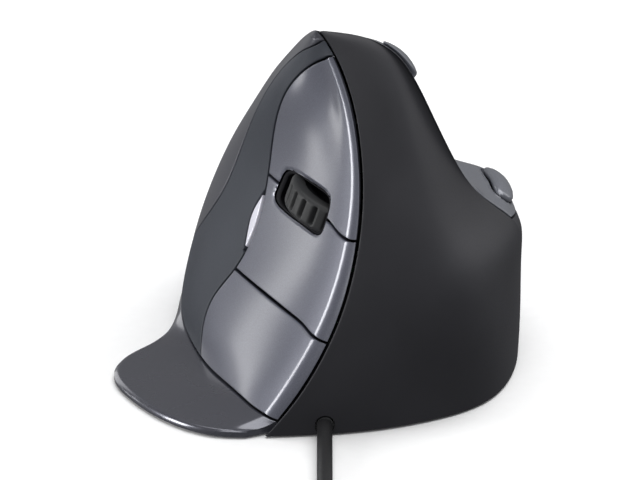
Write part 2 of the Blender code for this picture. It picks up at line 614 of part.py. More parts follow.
def make_wheel():
    centre, axle, out, rolling = wheel_axes()
    hub_centre = centre - out * (WHEEL_RADIUS - WHEEL_PROUD) - rolling * 0.5
    tread, rim = WHEEL_RADIUS, WHEEL_RADIUS - 2.6
    half = WHEEL_WIDTH / 2
    # The ribbed tyre: flat-topped ribs with round-bottomed grooves.
    angles = np.arange(RIBS * 4) * math.tau / (RIBS * 4)
    radii = tread - np.tile([0.0, 0.0, 0.9, 0.9], RIBS)
    loops = []
    for height, outer, inner in ((-half, radii - 0.5, rim), (-half + 0.6, radii, rim),
                                 (half - 0.6, radii, rim), (half, radii - 0.5, rim)):
        heights = np.full(len(angles), height)
        loops.append(np.column_stack([outer * np.cos(angles), outer * np.sin(angles), heights]))
    for height in (half, -half):
        heights = np.full(len(angles), height)
        loops.append(np.column_stack([rim * np.cos(angles), rim * np.sin(angles), heights]))
    count = len(angles)
    faces = []
    for n in range(len(loops)):
        m = (n + 1) % len(loops)
        for i in range(count):
            j = (i + 1) % count
            faces.append([n * count + i, n * count + j, m * count + j, m * count + i])
    tyre = add_mesh("wheel_tyre", np.concatenate(loops), faces, RUBBER)
    tyre.matrix_world = axes_matrix(hub_centre, tuple(rolling), tuple(axle))
    hub_r = rim - FIT
    bore, web = AXLE_RADIUS + 0.1, 1.6
    turned("wheel_hub", [(bore, half - 0.9), (4.0, half - 0.9), (4.6, web / 2), (hub_r - 1.4, web / 2),
                         (hub_r - 1.0, half - 0.3), (hub_r, half - 0.3), (hub_r, 0.3 - half),
                         (hub_r - 1.0, 0.3 - half), (hub_r - 1.4, -web / 2), (4.6, -web / 2),
                         (4.0, 0.9 - half), (bore, 0.9 - half)],
           INNER_BLACK, hub_centre, tuple(axle), 32)
    cylinder("wheel_axle", hub_centre, AXLE_RADIUS, 12.6, STEEL, tuple(axle), 24)
    make_wheel_carrier(hub_centre, axle, out, rolling)


def make_wheel_carrier(hub_centre, axle, out, rolling):
    """A fork that holds the axle on both sides of the wheel."""
    inside, outside, depth, floor = 4.0, 5.6, 4.4, -15.6
    section = [(-outside, floor), (outside, floor), (outside, 3.2), (inside, 3.2), (inside, floor + 2.0),
               (-inside, floor + 2.0), (-inside, 3.2), (-outside, 3.2)]
    count = len(section)
    points = [(x, y, z) for z in (-depth, depth) for x, y in section]
    faces = [list(reversed(range(count))), list(range(count, 2 * count))]
    faces += [[n, (n + 1) % count, (n + 1) % count + count, n + count] for n in range(count)]
    fork = add_mesh("wheel_carrier", points, faces, INNER_BLACK)
    fork.matrix_world = axes_matrix(hub_centre, tuple(axle), tuple(np.cross(axle, out)))
    bore = cylinder("axle_bore", hub_centre, AXLE_RADIUS + 0.1, 14, None, tuple(axle), 24, CUTTERS)
    cut(fork, hide_cutter(bore))
    foot = hub_centre + out * (floor - 2.4)
    box("wheel_switch", foot, (6.0, 6.0, 3.8), CHIP_BLACK, tuple(axle), tuple(out))
    side = hub_centre - axle * (outside + 3.2)
    box("wheel_encoder", side - out * 1.0, (3.6, 8.0, 9.0), CHIP_BLACK, tuple(axle), tuple(out))


# ---------------------------------------------------------------- inside

def spot(r, k, depth):
    """A point under the skin with the outward and upward directions there."""
    r, k = np.array(float(r)), np.array(float(k))
    along, up = slopes(r, k)
    out = outward(r, k)
    return place(r, k, np.array(float(depth))), out, unit(up - out * (up @ out))


def make_base_plate():
    r_front, r_side = np.linspace(0.4, 7.8, 36), np.linspace(8, 14.6, 40)
    outline = []
    for r, k in ((r_front, np.full(r_front.shape, 0.3)), (r_side, LIP_SEAM(r_side))):
        edge, wall = place(r, k, np.zeros(r.shape)), inward(r, k)
        flat = unit(wall[:, :2])
        outline += [tuple(p) for p in edge[:, :2] + flat * (WALL + 0.9)]
    plate = prism("base_plate", outline, PLATE_LOW, PLATE_HIGH, INNER_BLACK)
    for n, (x, y) in enumerate(BOARD_POSTS):
        post = cylinder("board_post_%d" % n, (x, y, (PLATE_HIGH + BOARD_Z - FIT) / 2 - 0.5), 2.0,
                        BOARD_Z - FIT - PLATE_HIGH + 1.0, None, sides=12, collection=CUTTERS)
        joined = plate.modifiers.new("post", "BOOLEAN")
        joined.operation = "UNION"
        joined.object = hide_cutter(post)
    cut(plate, hide_cutter(box("sensor_window", (*SENSOR, 2.0), (9, 8, 6), None, collection=CUTTERS)))
    cut(plate, hide_cutter(box("cord_way", (CORD_X, -45, 2.0), (6.4, 32, 6), None, collection=CUTTERS)))
    for n, (x, y) in enumerate(SCREWS):
        way = cylinder("screw_way_%d" % n, (x, y, 2.0), 2.9, 6, None, sides=20, collection=CUTTERS)
        cut(plate, hide_cutter(way))
        turned("screw_%d" % (n + 1), [(0, 9.0), (0.7, 9.0), (1.1, 8.2), (1.1, 1.5), (2.4, 1.5),
                                      (2.4, 0.9), (0, 0.9)],
               STEEL, (x, y, 0), steps=16)


def make_inner_frame():
    """An upright rib on a foot, screwed to the base plate; it carries the boards."""
    foot, high, half_rib = 6.0, 38.0, 1.0
    section = [(-foot, FRAME_LOW), (foot, FRAME_LOW), (foot, FRAME_LOW + 3.4), (half_rib, FRAME_LOW + 3.4),
               (half_rib, high), (-half_rib, high), (-half_rib, FRAME_LOW + 3.4), (-foot, FRAME_LOW + 3.4)]
    count = len(section)
    points = [(FRAME_X + x, y, z) for y in (-3.0, 22.0) for x, z in section]
    faces = [list(range(count)), list(reversed(range(count, 2 * count)))]
    faces += [[n, n + count, (n + 1) % count + count, (n + 1) % count] for n in range(count)]
    frame = add_mesh("inner_frame", points, faces, INNER_BLACK)
    for n, (x, y) in enumerate(SCREWS):
        pilot = cylinder("pilot_%d" % n, (x, y, 6), 1.4, 12, None, sides=16, collection=CUTTERS)
        cut(frame, hide_cutter(pilot))


def make_groove_rail():
    """The dark liner behind the groove, from base to tip, that closes the gap to the inside."""
    k = np.linspace(0.7, 9.0, 32)
    front = place(np.full(k.shape, 0.14), k, np.full(k.shape, 2.6))
    back = place(np.full(k.shape, 14.72), k, np.full(k.shape, 2.9))
    centre_line = np.stack([front, (front + back) / 2, back], 1)
    inner = centre_line + inward(np.full(k.shape, 0.0), k)[:, None, :] * 1.1
    walled("groove_rail", centre_line[:, ::-1], inner[:, ::-1], INNER_BLACK)


def make_boards():
    box("main_board", (7.0, -18.5, BOARD_Z + 0.8), (32, 24, 1.6), BOARD_GREEN)
    box("controller_chip", (-2.5, -13, BOARD_Z + 2.7), (7, 7, 1.4), CHIP_BLACK)
    box("cord_connector", (CORD_X + 9.5, -27.5, BOARD_Z + 4.2), (8, 4.5, 4.4), CONTACT_WHITE)
    box("sensor_chip", (*SENSOR, BOARD_Z - 1.35), (9.5, 7.5, 2.0), CHIP_BLACK)
    box("sensor_lens", (*SENSOR, 1.9), (8.2, 7.2, 2.0), CLEAR, bevel=0.3)
    # Micro-switches under the finger buttons, with the boards that hold them.
    for name, r, k in (("top", 13.3, 5.3), ("middle", 14.0, 2.85), ("bottom", 13.9, 1.7)):
        at, out, up = spot(r, k, 5.8)
        box("switch_" + name, at, (6.0, 9.6, 5.0), CHIP_BLACK, tuple(np.cross(up, out)), tuple(out))
        box("board_" + name, at - out * 3.6, (7.6, 11.0, 1.4), BOARD_GREEN,
            tuple(np.cross(up, out)), tuple(out))
    for name, (centre, _half, _proud) in THUMB_BUTTONS.items():
        short = name.replace("thumb_button_", "")
        at, out, up = spot(*centre, 6.9)
        box("switch_thumb_" + short, at, (4.0, 5.0, 3.4), CHIP_BLACK, tuple(np.cross(up, out)), tuple(out))
        box("board_thumb_" + short, at - out * 2.7, (5.6, 6.6, 1.2), BOARD_GREEN,
            tuple(np.cross(up, out)), tuple(out))
    at, out, up = spot(12.1, 3.1, 4.6)
    box("status_led", at, (2.0, 4.0, 2.0), CONTACT_WHITE, tuple(np.cross(up, out)), tuple(out))


def make_glide_feet():
    for name, centre, size, turn in (("foot_front", (19, -33), (18, 6), 24),
                                     ("foot_rear", (-3, 38), (22, 6), 4),
                                     ("foot_finger", (-17, -6), (6, 18), 0),
                                     ("foot_thumb", (31, 4), (6, 18), 0)):
        foot = box(name, (*centre, 0.2), (*size, 0.4), GLIDE_DARK,
                   (math.cos(math.radians(turn)), math.sin(math.radians(turn)), 0))
        rounding = foot.modifiers.new("round", "BEVEL")
        rounding.affect = "EDGES"
        rounding.width = 2.4 * MM
        rounding.segments = 4
        rounding.limit_method = "WEIGHT"
        weights = foot.data.attributes.new("bevel_weight_edge", "FLOAT", "EDGE")
        for edge in foot.data.edges:
            a, b = (foot.data.vertices[v].co for v in edge.vertices)
            weights.data[edge.index].value = 1.0 if abs(a.z - b.z) > 0.0001 else 0.0


# ---------------------------------------------------------------- cord

ROUTE = [(CORD_X, -50.2, EXIT_Z), (CORD_X, -54, 2.05), (CORD_X, -60, 1.7), (CORD_X, -68, 1.53),
         (CORD_X, -78, 1.53), (CORD_X, -90, 1.53), (CORD_X, -102, 1.53),
         (CORD_X, COIL_CENTRE[1] + 17.2, 1.53)]
TAIL = [(PLUG[0] + x, PLUG[1] + y, z)
        for x, y, z in ((-0.9, 10.0, 6.2), (-0.3, 6.8, 4.9), (0.0, 3.6, 4.1), (0.0, 0.4, 4.0))]


def tube(name, route, look, radius=CORD_D / 2, spacing=2.4):
    """A cord along a smooth curve through the route's points."""
    route = np.array(route, float)
    fine = spline_weights(len(route), np.linspace(0, len(route) - 1, 600)) @ route
    run = np.concatenate([[0], np.cumsum(np.linalg.norm(np.diff(fine, axis=0), axis=1))])
    count = max(3, round(run[-1] / (spacing * radius * 2)) + 1)
    points = [np.interp(np.linspace(0, run[-1], count), run, fine[:, axis]) for axis in range(3)]
    curve = bpy.data.curves.new(name, "CURVE")
    curve.dimensions = "3D"
    curve.bevel_depth = radius * MM
    curve.bevel_resolution = 2
    curve.use_fill_caps = True
    line = curve.splines.new("POLY")
    line.points.add(count - 1)
    for point, (x, y, z) in zip(line.points, zip(*points)):
        point.co = (x * MM, y * MM, z * MM, 1)
    curve.materials.append(look)
    made = bpy.data.objects.new(name, curve)
    PARTS.objects.link(made)
    return made


def make_cord():
    turned("strain_relief", [(0, 7.0), (2.1, 7.0), (2.1, 5.4), (1.7, 5.0), (1.7, -5.9),
                             (1.6, -6.5), (0, -6.5)],
           RUBBER, (CORD_X, -43.1, EXIT_Z), (0, 1, 0), 20)
    tube("inner_lead", [(CORD_X, -35.2, EXIT_Z), (CORD_X + 0.2, -33.2, 3.6), (CORD_X + 0.6, -32.4, 6.8),
                        (CORD_X + 2.0, -30.8, 9.4), (CORD_X + 4.5, -28.4, 10.0)], CORD_BLACK, 0.8)
    tube("cord", ROUTE, CORD_BLACK)
    low, high, inner, outer, soft = COIL_LOW, COIL_HIGH, COIL_INNER, COIL_OUTER, 2.5
    section = [(inner, high - soft), (inner + soft, high), (outer - soft, high), (outer, high - soft),
               (outer, low + soft), (outer - soft, low), (inner + soft, low), (inner, low + soft)]
    turned("cord_coil", section, CORD_BLACK, (*COIL_CENTRE, 0), steps=32)
    tube("cord_tail", TAIL, CORD_BLACK)
    make_coil_tie()
    make_plug()


def make_coil_tie():
    """A flat strap closed round the coil's turns, on the side away from the mouse."""
    thick, wide, clear = 0.65, 7.0, 0.32
    x, y = COIL_CENTRE[0] + 15.2, COIL_CENTRE[1] - 15.2
    radial, upward = np.array([1, -1, 0]) / math.sqrt(2), np.array([0, 0, 1.0])
    middle = np.array([COIL_CENTRE[0], COIL_CENTRE[1], 0]) + radial * (COIL_INNER + COIL_OUTER) / 2
    reach, low, high = (COIL_OUTER - COIL_INNER) / 2 + clear + 0.5, COIL_LOW - clear, COIL_HIGH + clear
    corner = 1.6
    loops = []
    for grow in (0.0, thick):
        half = reach + grow
        bottom, top = low - grow, high + grow
        plan = [(-half, bottom + corner), (-half + corner, bottom), (half - corner, bottom),
                (half, bottom + corner), (half, top - corner), (half - corner, top),
                (-half + corner, top), (-half, top - corner)]
        loops.append(plan)
    across = np.cross(upward, radial)
    points = [middle + radial * a + upward * b + across * side * wide / 2
              for side in (1, -1) for loop in loops for a, b in loop]
    count = len(loops[0])
    faces = []
    for i in range(count):
        j = (i + 1) % count
        inner_a, outer_a, inner_b, outer_b = 0, count, 2 * count, 3 * count
        faces += [[inner_a + i, inner_a + j, outer_a + j, outer_a + i],
                  [inner_b + j, inner_b + i, outer_b + i, outer_b + j],
                  [outer_a + i, outer_a + j, outer_b + j, outer_b + i],
                  [inner_a + j, inner_a + i, inner_b + i, inner_b + j]]
    add_mesh("coil_tie", points, faces, RUBBER)


def make_plug():
    """A standard USB-A plug, lying on the desk beside the coil with its open end towards -Y."""
    x, y, z = PLUG
    relief, body, shell = 9.0, 22.0, 12.0
    sleeve = [(0, 0), (1.9, 0), (2.5, -relief + 0.2), (3.1, -relief + 0.2), (3.1, -relief), (0, -relief)]
    turned("plug_relief", sleeve, RUBBER, (x, y, z), (0, 1, 0), 20)
    body_y = y - relief - 0.3 - body / 2
    box("plug_housing", (x, body_y, z), (15.0, body, 7.4), RUBBER, bevel=1.2)
    shell_y = body_y - body / 2 - 0.3 - shell / 2
    outside = box("plug_shell", (x, shell_y, z), (12.0, shell, 4.5), STEEL)
    mouth = box("plug_mouth", (x, shell_y - 1.5, z), (11.2, shell, 3.8), None, collection=CUTTERS)
    cut(outside, hide_cutter(mouth))
    box("plug_tongue", (x, shell_y - 0.3, z + 0.75), (10.4, shell - 2.6, 1.5), CONTACT_WHITE)


# ---------------------------------------------------------------- the assembly

make_front_shell()
make_palm_shell()
make_grip_band()
make_finger_lip()
make_finger_buttons()
make_status_lens()
make_thumb_panel()
make_wheel()
make_base_plate()
make_inner_frame()
make_groove_rail()
make_boards()
make_glide_feet()
make_cord()
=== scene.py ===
"""The looks of a right-handed vertical computer mouse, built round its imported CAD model.

Lengths in the design constants are millimetres and become metres through MM. +Z is up, the front
of the mouse faces -Y and its thumb side faces +X.
"""

import json
import math

import bmesh
import bpy
import numpy as np
from mathutils import Matrix, Vector


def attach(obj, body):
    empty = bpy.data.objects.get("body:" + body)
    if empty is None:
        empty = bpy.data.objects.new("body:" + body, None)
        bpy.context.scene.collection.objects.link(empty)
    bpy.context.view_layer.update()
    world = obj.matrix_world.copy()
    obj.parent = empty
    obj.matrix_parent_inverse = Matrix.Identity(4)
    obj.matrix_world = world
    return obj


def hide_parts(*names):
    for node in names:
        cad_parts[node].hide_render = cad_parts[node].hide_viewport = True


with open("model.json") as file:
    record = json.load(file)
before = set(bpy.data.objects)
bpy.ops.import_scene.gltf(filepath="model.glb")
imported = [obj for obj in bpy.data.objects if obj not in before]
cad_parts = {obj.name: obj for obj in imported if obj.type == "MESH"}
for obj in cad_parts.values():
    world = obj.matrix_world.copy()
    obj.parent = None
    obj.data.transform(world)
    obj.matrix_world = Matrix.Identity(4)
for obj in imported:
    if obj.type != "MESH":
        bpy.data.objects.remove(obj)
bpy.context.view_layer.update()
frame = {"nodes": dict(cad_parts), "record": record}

MM = 0.001

# ---------------------------------------------------------------- design constants, as in the CAD

SEAM_GAP = 0.35
GROOVE_GAP = 1.0
WALL = 2.0
BUTTON_WALL = 1.4
LENS_WALL = 1.6
THINNEST = 0.25
BASE_Z = 0.5

WHEEL_PLACE = (12.95, 4.035)
SLOT_HALF = (0.60, 0.42)
SLOT_LEAN = 0.07
WHEEL_RADIUS = 10.6
WHEEL_WIDTH = 5.7
WHEEL_PROUD = 3.1
HUB_SHIFT = 0.5
TYRE_THICK = 2.6
RIBS = 22

# Centre, half sizes and crown height of each thumb button.
THUMB_BUTTONS = {"thumb_button_upper": ((4.62, 8.2), (0.40, 0.60), 1.5),
                 "thumb_button_lower": ((5.05, 3.85), (0.62, 0.42), 0.6)}

CORD_X = 1.4
CORD_D = 3.0
EXIT_Z = 2.3
COIL_CENTRE = (-20.6, -130.0)

# Lines up the skin, one after another round the mouse, which all end at its tip.
TIP = (-0.2, -21.0, 73.4)
GUIDES = [
    [(-11, -50.6, 0), (-4.4, -49.8, 8), (1.6, -47.6, 18), (5.6, -44.4, 28), (7.8, -40.3, 38),
     (8.4, -35.6, 48), (7.3, -30.1, 58), (5.0, -25.7, 65.4), (2.6, -23.0, 70), (1.0, -21.8, 72.3)],
    [(6, -48.6, 0), (8, -48, 8), (11, -46, 18), (14, -42.6, 28), (15.0, -38.2, 38),
     (14.6, -33.2, 47), (12.8, -28.4, 56.8), (9.8, -24.6, 65), (6.6, -22.4, 69.8), (3.6, -21.4, 72.2)],
    [(21, -43.2, 0), (21.6, -43, 8), (22.8, -42, 18), (23.5, -38.6, 28), (22.6, -34, 36.5),
     (20.4, -29.2, 46), (17.6, -25.2, 56), (14.4, -22.2, 64.6), (10.8, -20.8, 69.7), (6.2, -20.6, 72)],
    [(34.4, -31.4, 0), (34.6, -31.6, 8.5), (33.8, -31.6, 18), (31.8, -30.2, 27.5), (28.8, -26, 34),
     (25.2, -22.4, 43), (21.6, -20.2, 52.5), (18, -19, 61.6), (14.2, -18.9, 68), (8.4, -19.8, 71.7)],
    [(39.6, -11, 0), (40, -10, 9), (40, -9, 19), (39.6, -9, 27), (35.6, -12.2, 32.6),
     (30.6, -16, 38.6), (26.6, -18.4, 46), (22.3, -19, 55.5), (17.6, -19, 64.8), (11, -19.5, 70.6)],
    [(38.5, 4, 0), (39.0, 4, 9), (39, 4, 19), (38.4, 3.5, 27), (36.0, 2, 32.4),
     (28.4, 0, 34.2), (23, -2, 41), (19.5, -4, 52), (16.5, -7, 61.5), (11.2, -13, 68.3)],
    [(35, 18, 0), (35, 18, 9), (34.5, 18, 18), (33.6, 17.5, 26), (31.2, 16.5, 30.2),
     (25.6, 14.5, 32.6), (21, 12, 39.5), (17.8, 8, 49), (15.4, 3, 57.5), (10.2, -6, 65.3)],
    [(27, 33, 0), (27, 33, 9), (26, 32.5, 17), (24.5, 31, 23.5), (22.8, 29.5, 27.5),
     (20.5, 27.5, 31.8), (18, 25, 37.6), (15.5, 20, 45.5), (13, 12, 54), (8.6, -1, 62.6)],
    [(13, 48, 0), (13, 47.5, 9), (12.5, 45.5, 18), (12, 42.5, 25.5), (11.5, 39, 31),
     (11, 35, 36.5), (10.2, 30, 42.5), (8.8, 23, 49.5), (7, 13, 57), (4.3, -1, 64.3)],
    [(-2, 50.8, 0), (-2, 50.2, 8), (-2, 47.6, 17), (-1.8, 44, 25), (-1.5, 40, 31),
     (-1.2, 35.5, 37), (-0.8, 30, 43.2), (-0.5, 22.5, 50.3), (0, 11.5, 58.2), (0.8, -4, 65.8)],
    [(-16, 42, 0), (-15.8, 41.5, 8), (-15, 39, 17), (-13.5, 35.5, 25.5), (-11.8, 31.5, 33),
     (-9.8, 27, 40), (-7.6, 21.5, 47), (-5.4, 14, 54), (-3, 5, 61), (-1, -7, 67.6)],
    [(-26.6, 19, 0), (-25.9, 18, 8), (-23.9, 17, 18), (-20.6, 15.5, 28), (-16.8, 13, 37.5),
     (-12.7, 9, 46.5), (-8.7, 4, 55), (-5.3, -2.5, 61.8), (-2.9, -9, 67), (-1.2, -15, 70.7)],
    [(-25.6, -8, 0), (-24.2, -8.5, 8), (-19.3, -8.5, 18), (-14.2, -7.5, 28), (-11.2, -6, 38),
     (-9, -7.5, 48), (-6.5, -11.5, 57), (-3.9, -14.5, 63.7), (-1.9, -17.5, 68.7), (-0.8, -19.4, 71.9)],
    [(-19.3, -32.5, 0), (-15, -32.5, 8), (-9.2, -31, 18), (-4.6, -28, 28), (-1.6, -25, 38),
     (0, -23, 48), (1.0, -21.8, 57.5), (0.9, -21.2, 64.5), (0.4, -20.8, 69.4), (0, -20.6, 72.1)],
    [(-14.9, -43.5, 0), (-9.4, -43.5, 8), (-3.2, -41.6, 18), (1.0, -38.4, 28), (3.6, -34.6, 38),
     (4.8, -30.8, 48), (4.5, -26.8, 57.8), (3.1, -23.9, 65), (1.6, -21.8, 69.8), (0.5, -21.2, 72.2)],
]
GUIDES.append(GUIDES[0])
CAGE = np.array([guide + [TIP] for guide in GUIDES], float)
THUMB_EDGE, RIDGE, GROOVE = 4, 8, 15
LEVELS = CAGE.shape[1]
BASE_K = 0.06

# The thumb edge is round below this level of the skin, and an edge from one level higher.
EDGE_K = 2.6
# Levels at which the covers end under the tip.
BUTTON_TOP_K, BAND_TOP_K = 7.71, 8.56
SHELL_TOP_K, PANEL_TOP_K, PALM_TOP_K = 9.85, 9.87, 9.9
# Levels above which the skin's direction no longer turns, in front and round the side.
FRONT_STEADY_K, SIDE_STEADY_K = 8.2, 9.7
# How far from the thumb edge, in mm, and from the groove, in r, walls lean to a shared direction.
EDGE_REACH, GROOVE_REACH = 5.5, 0.3


# ---------------------------------------------------------------- the skin

def smoothstep(x):
    x = np.clip(x, 0, 1)
    return x * x * (3 - 2 * x)


def spline_weights(count, at):
    """Weights of the natural cubic spline through count points, at positions 0 to count - 1."""
    at = np.clip(at, 0, count - 1)
    i = np.minimum(at.astype(int), count - 2)
    f = at - i
    system, second = np.eye(count), np.zeros((count, count))
    for n in range(1, count - 1):
        system[n, n - 1:n + 2] = 1, 4, 1
        second[n, n - 1:n + 2] = 6, -12, 6
    bend = np.linalg.solve(system, second)
    unit_rows = np.eye(count)
    low, high = 1 - f, f
    return (low[:, None] * unit_rows[i] + high[:, None] * unit_rows[i + 1]
            + ((low ** 3 - low) / 6)[:, None] * bend[i]
            + ((high ** 3 - high) / 6)[:, None] * bend[i + 1])


def through(cage, r, up):
    """Points of the surface over a cage, at positions r round it."""
    rails = spline_weights(len(cage), r) @ cage.reshape(len(cage), -1)
    return (rails.reshape(-1, LEVELS, 3) * up[:, :, None]).sum(1)


def skin(r, k):
    """Points of the skin, in mm. It is round at the thumb edge below the ledge, and has an edge above."""
    r, k = np.broadcast_arrays(np.asarray(r, float), np.asarray(k, float))
    shape = r.shape
    r, k = r.ravel(), k.ravel()
    up = spline_weights(LEVELS, k)
    whole = through(CAGE, r, up)
    front = through(CAGE[:THUMB_EDGE + 1], np.minimum(r, THUMB_EDGE), up)
    side = through(CAGE[THUMB_EDGE:], np.maximum(r, THUMB_EDGE) - THUMB_EDGE, up)
    edged = np.where((r < THUMB_EDGE)[:, None], front, side)
    sharp = smoothstep(k - EDGE_K)[:, None]
    return (whole + (edged - whole) * sharp).reshape(shape + (3,))


def unit(vectors):
    return vectors / (np.linalg.norm(vectors, axis=-1, keepdims=True) + 1e-12)


def slopes(r, k, step=0.01):
    """The skin's two derivatives, in mm per unit of r and of k."""
    r, k = np.broadcast_arrays(np.asarray(r, float), np.asarray(k, float))
    start = np.where(r < THUMB_EDGE, 0, THUMB_EDGE)
    end = np.where(r < THUMB_EDGE, THUMB_EDGE - 1e-6, GROOVE)
    lo, hi = np.maximum(r - step, start), np.minimum(r + step, end)
    along = (skin(hi, k) - skin(lo, k)) / (hi - lo)[..., None]
    lo, hi = np.maximum(k - step, 0), np.minimum(k + step, LEVELS - 1)
    return along, (skin(r, hi) - skin(r, lo)) / (hi - lo)[..., None]


def outward(r, k):
    """Direction square to the skin; near the tip, where the skin closes, that of a lower level."""
    steady = np.where(np.asarray(r) < THUMB_EDGE, FRONT_STEADY_K, SIDE_STEADY_K)
    return unit(np.cross(*slopes(r, np.minimum(k, steady))))


def inward(r, k):
    """Direction in which walls grow: square to the skin, shared by the two sides of an edge."""
    r, k = np.broadcast_arrays(np.asarray(r, float), np.asarray(k, float))
    edge = outward(np.full(r.shape, THUMB_EDGE - 1e-3), k) + outward(np.full(r.shape, THUMB_EDGE), k)
    groove = outward(np.zeros(r.shape), k) + outward(np.full(r.shape, GROOVE), k)
    span = np.linalg.norm(slopes(r, np.minimum(k, 9.0))[0], axis=-1)
    near_edge = np.exp(-((r - THUMB_EDGE) * span / EDGE_REACH) ** 2)[..., None]
    near_groove = np.exp(-(np.minimum(r, GROOVE - r) / GROOVE_REACH) ** 2)[..., None]
    out = (outward(r, k) * (1 - near_edge - near_groove) + unit(edge) * near_edge
           + unit(groove) * near_groove)
    at_tip = smoothstep((k - 7.0) / 2.0)[..., None]
    downward = np.stack([0.25 * smoothstep(k - 8), np.full(k.shape, 0.66), np.full(k.shape, -0.71)], -1)
    return unit(-unit(out) * (1 - at_tip) + downward * at_tip)


def place(r, k, depth):
    """Points at a depth under the skin, never lower than the covers' lower edge."""
    depth = np.asarray(depth, float)
    points = skin(r, k) + inward(r, k) * depth[..., None]
    points[..., 2] = np.maximum(points[..., 2], BASE_Z)
    return points


# ---------------------------------------------------------------- seams between the covers

def seam(*points):
    """A smooth line through (r, k) or (k, r) pairs, as a function of the first of the two."""
    points = np.array(points, float)
    line = spline_weights(len(points), np.linspace(0, len(points) - 1, 600)) @ points
    return lambda along: np.interp(along, line[:, 0], line[:, 1])


PANEL_REAR = seam((0.2, 12.36), (0.8, 12.23), (1.5, 12.12), (2.2, 12.18), (3.0, 12.18), (4.0, 12.14),
                  (5.0, 12.06), (6.0, 12.04), (6.8, 12.24), (7.25, 12.56), (7.5, 13.05), (7.66, 14.0),
                  (7.75, 15.1))
BAND_REAR = seam((0.8, 10.4), (1.2, 10.8), (1.7, 11.1), (2.3, 11.3), (3.0, 11.43), (3.8, 11.47),
                 (4.6, 11.44), (5.3, 11.41), (6.0, 11.44), (6.6, 11.5), (7.2, 11.64), (7.8, 11.94),
                 (8.2, 12.5), (8.45, 13.3), (8.6, 14.3), (8.66, 15.1))
LENS_REAR = seam((2.55, 12.17), (2.8, 12.1), (3.1, 12.05), (3.4, 12.07), (3.72, 12.15))
BUTTON_SEAM_TOP = seam((12, 4.05), (12.6, 4.01), (13.3, 4.0), (13.7, 3.98), (14.05, 3.91), (14.4, 3.87),
                       (14.7, 3.88), (15, 3.95))
BUTTON_SEAM_LOW = seam((12, 2.2), (12.6, 2.21), (13.2, 2.2), (13.8, 2.17), (14.25, 2.09), (14.65, 2.06),
                       (15, 2.06))
LIP_SEAM = seam((8, 0.8), (9, 0.8), (10, 0.8), (10.6, 0.78), (11.1, 0.68), (11.5, 0.52), (11.9, 0.41),
                (12.4, 0.36), (12.8, 0.42), (13.3, 0.47), (14, 0.46), (15, 0.46))
LEDGE_SEAM = seam((4, 3.42), (4.4, 3.19), (5, 3.06), (6, 3.0), (7, 2.9), (8, 2.85))


def upright(line, shift=0.0):
    """The upright seam, r as a function of k, moved sideways by shift mm square to the seam."""
    def moved(k):
        r = np.clip(line(k), 0, GROOVE)
        along, up = (np.linalg.norm(s, axis=-1) for s in slopes(r, k))
        lean = (line(k + 0.01) - line(k - 0.01)) / 0.02 * along / up
        return np.clip(r + shift * np.sqrt(1 + np.minimum(lean ** 2, 9)) / along, 0, GROOVE)
    return moved


def level(line, shift=0.0):
    """The level seam, k as a function of r, moved up by shift mm square to the seam."""
    def moved(r):
        k = line(r)
        along, up = (np.linalg.norm(s, axis=-1) for s in slopes(r, k))
        lean = (line(r + 0.01) - line(r - 0.01)) / 0.02 * up / along
        return k + shift * np.sqrt(1 + lean ** 2) / up
    return moved


def fixed(value):
    """A line that stays at one value."""
    return lambda at: np.full(np.shape(at), float(value))


def tabled(line, end):
    """The same line, read from a table of its values from 0 to end."""
    at = np.linspace(0, end, 3001)
    values = line(at)
    return lambda x: np.interp(x, at, values)


# ---------------------------------------------------------------- meshes

ROLL_STEPS = 7
# Where across the skin a grid's levels are first read, and how often its lines are then matched.
FIRST_R, PASSES = 13.0, 14


def add_piece(name, points, faces, look, body, stands_for=(), sharp=40.0, origin=(0, 0, 0)):
    """A closed mesh from points in mm, which rides on a CAD body."""
    mesh = bpy.data.meshes.new(name)
    local = (np.asarray(points, float) - np.asarray(origin, float)) * MM
    mesh.from_pydata([tuple(p) for p in local], [], faces)
    mesh.update()
    return add_made(name, mesh, look, body, stands_for, sharp, origin)


def add_made(name, mesh, look, body, stands_for=(), sharp=40.0, origin=(0, 0, 0)):
    """The piece of a finished mesh, smooth but for edges past the sharp angle."""
    mesh.materials.append(look)
    mesh.shade_smooth()
    mesh.set_sharp_from_angle(angle=math.radians(sharp))
    piece = bpy.data.objects.new(name, mesh)
    bpy.context.scene.collection.objects.link(piece)
    piece.location = Vector(origin) * MM
    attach(piece, body)
    if stands_for:
        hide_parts(*stands_for)
    return piece


def walled_faces(rows, columns, kept=None):
    """Faces of the solid between two matching grids, the outer one first."""
    index = np.arange(rows * columns).reshape(rows, columns)
    under = rows * columns
    faces, edges = [], set()
    for i in range(rows - 1):
        for j in range(columns - 1):
            if kept is not None and not kept[i, j]:
                continue
            cell = [int(n) for n in (index[i, j], index[i, j + 1], index[i + 1, j + 1], index[i + 1, j])]
            faces.append(cell)
            faces.append([n + under for n in reversed(cell)])
            edges.update(zip(cell, cell[1:] + cell[:1]))
    for a, b in sorted(edges):
        if (b, a) not in edges:
            faces.append([b, a, a + under, b + under])
    return faces


def walled_points(outer, inner, faces):
    """The points of both grids that the faces use, and the faces renumbered to match."""
    points = np.concatenate([outer.reshape(-1, 3), inner.reshape(-1, 3)])
    used = sorted({n for face in faces for n in face})
    renumber = {n: m for m, n in enumerate(used)}
    return points[used], [[renumber[n] for n in face] for face in faces]


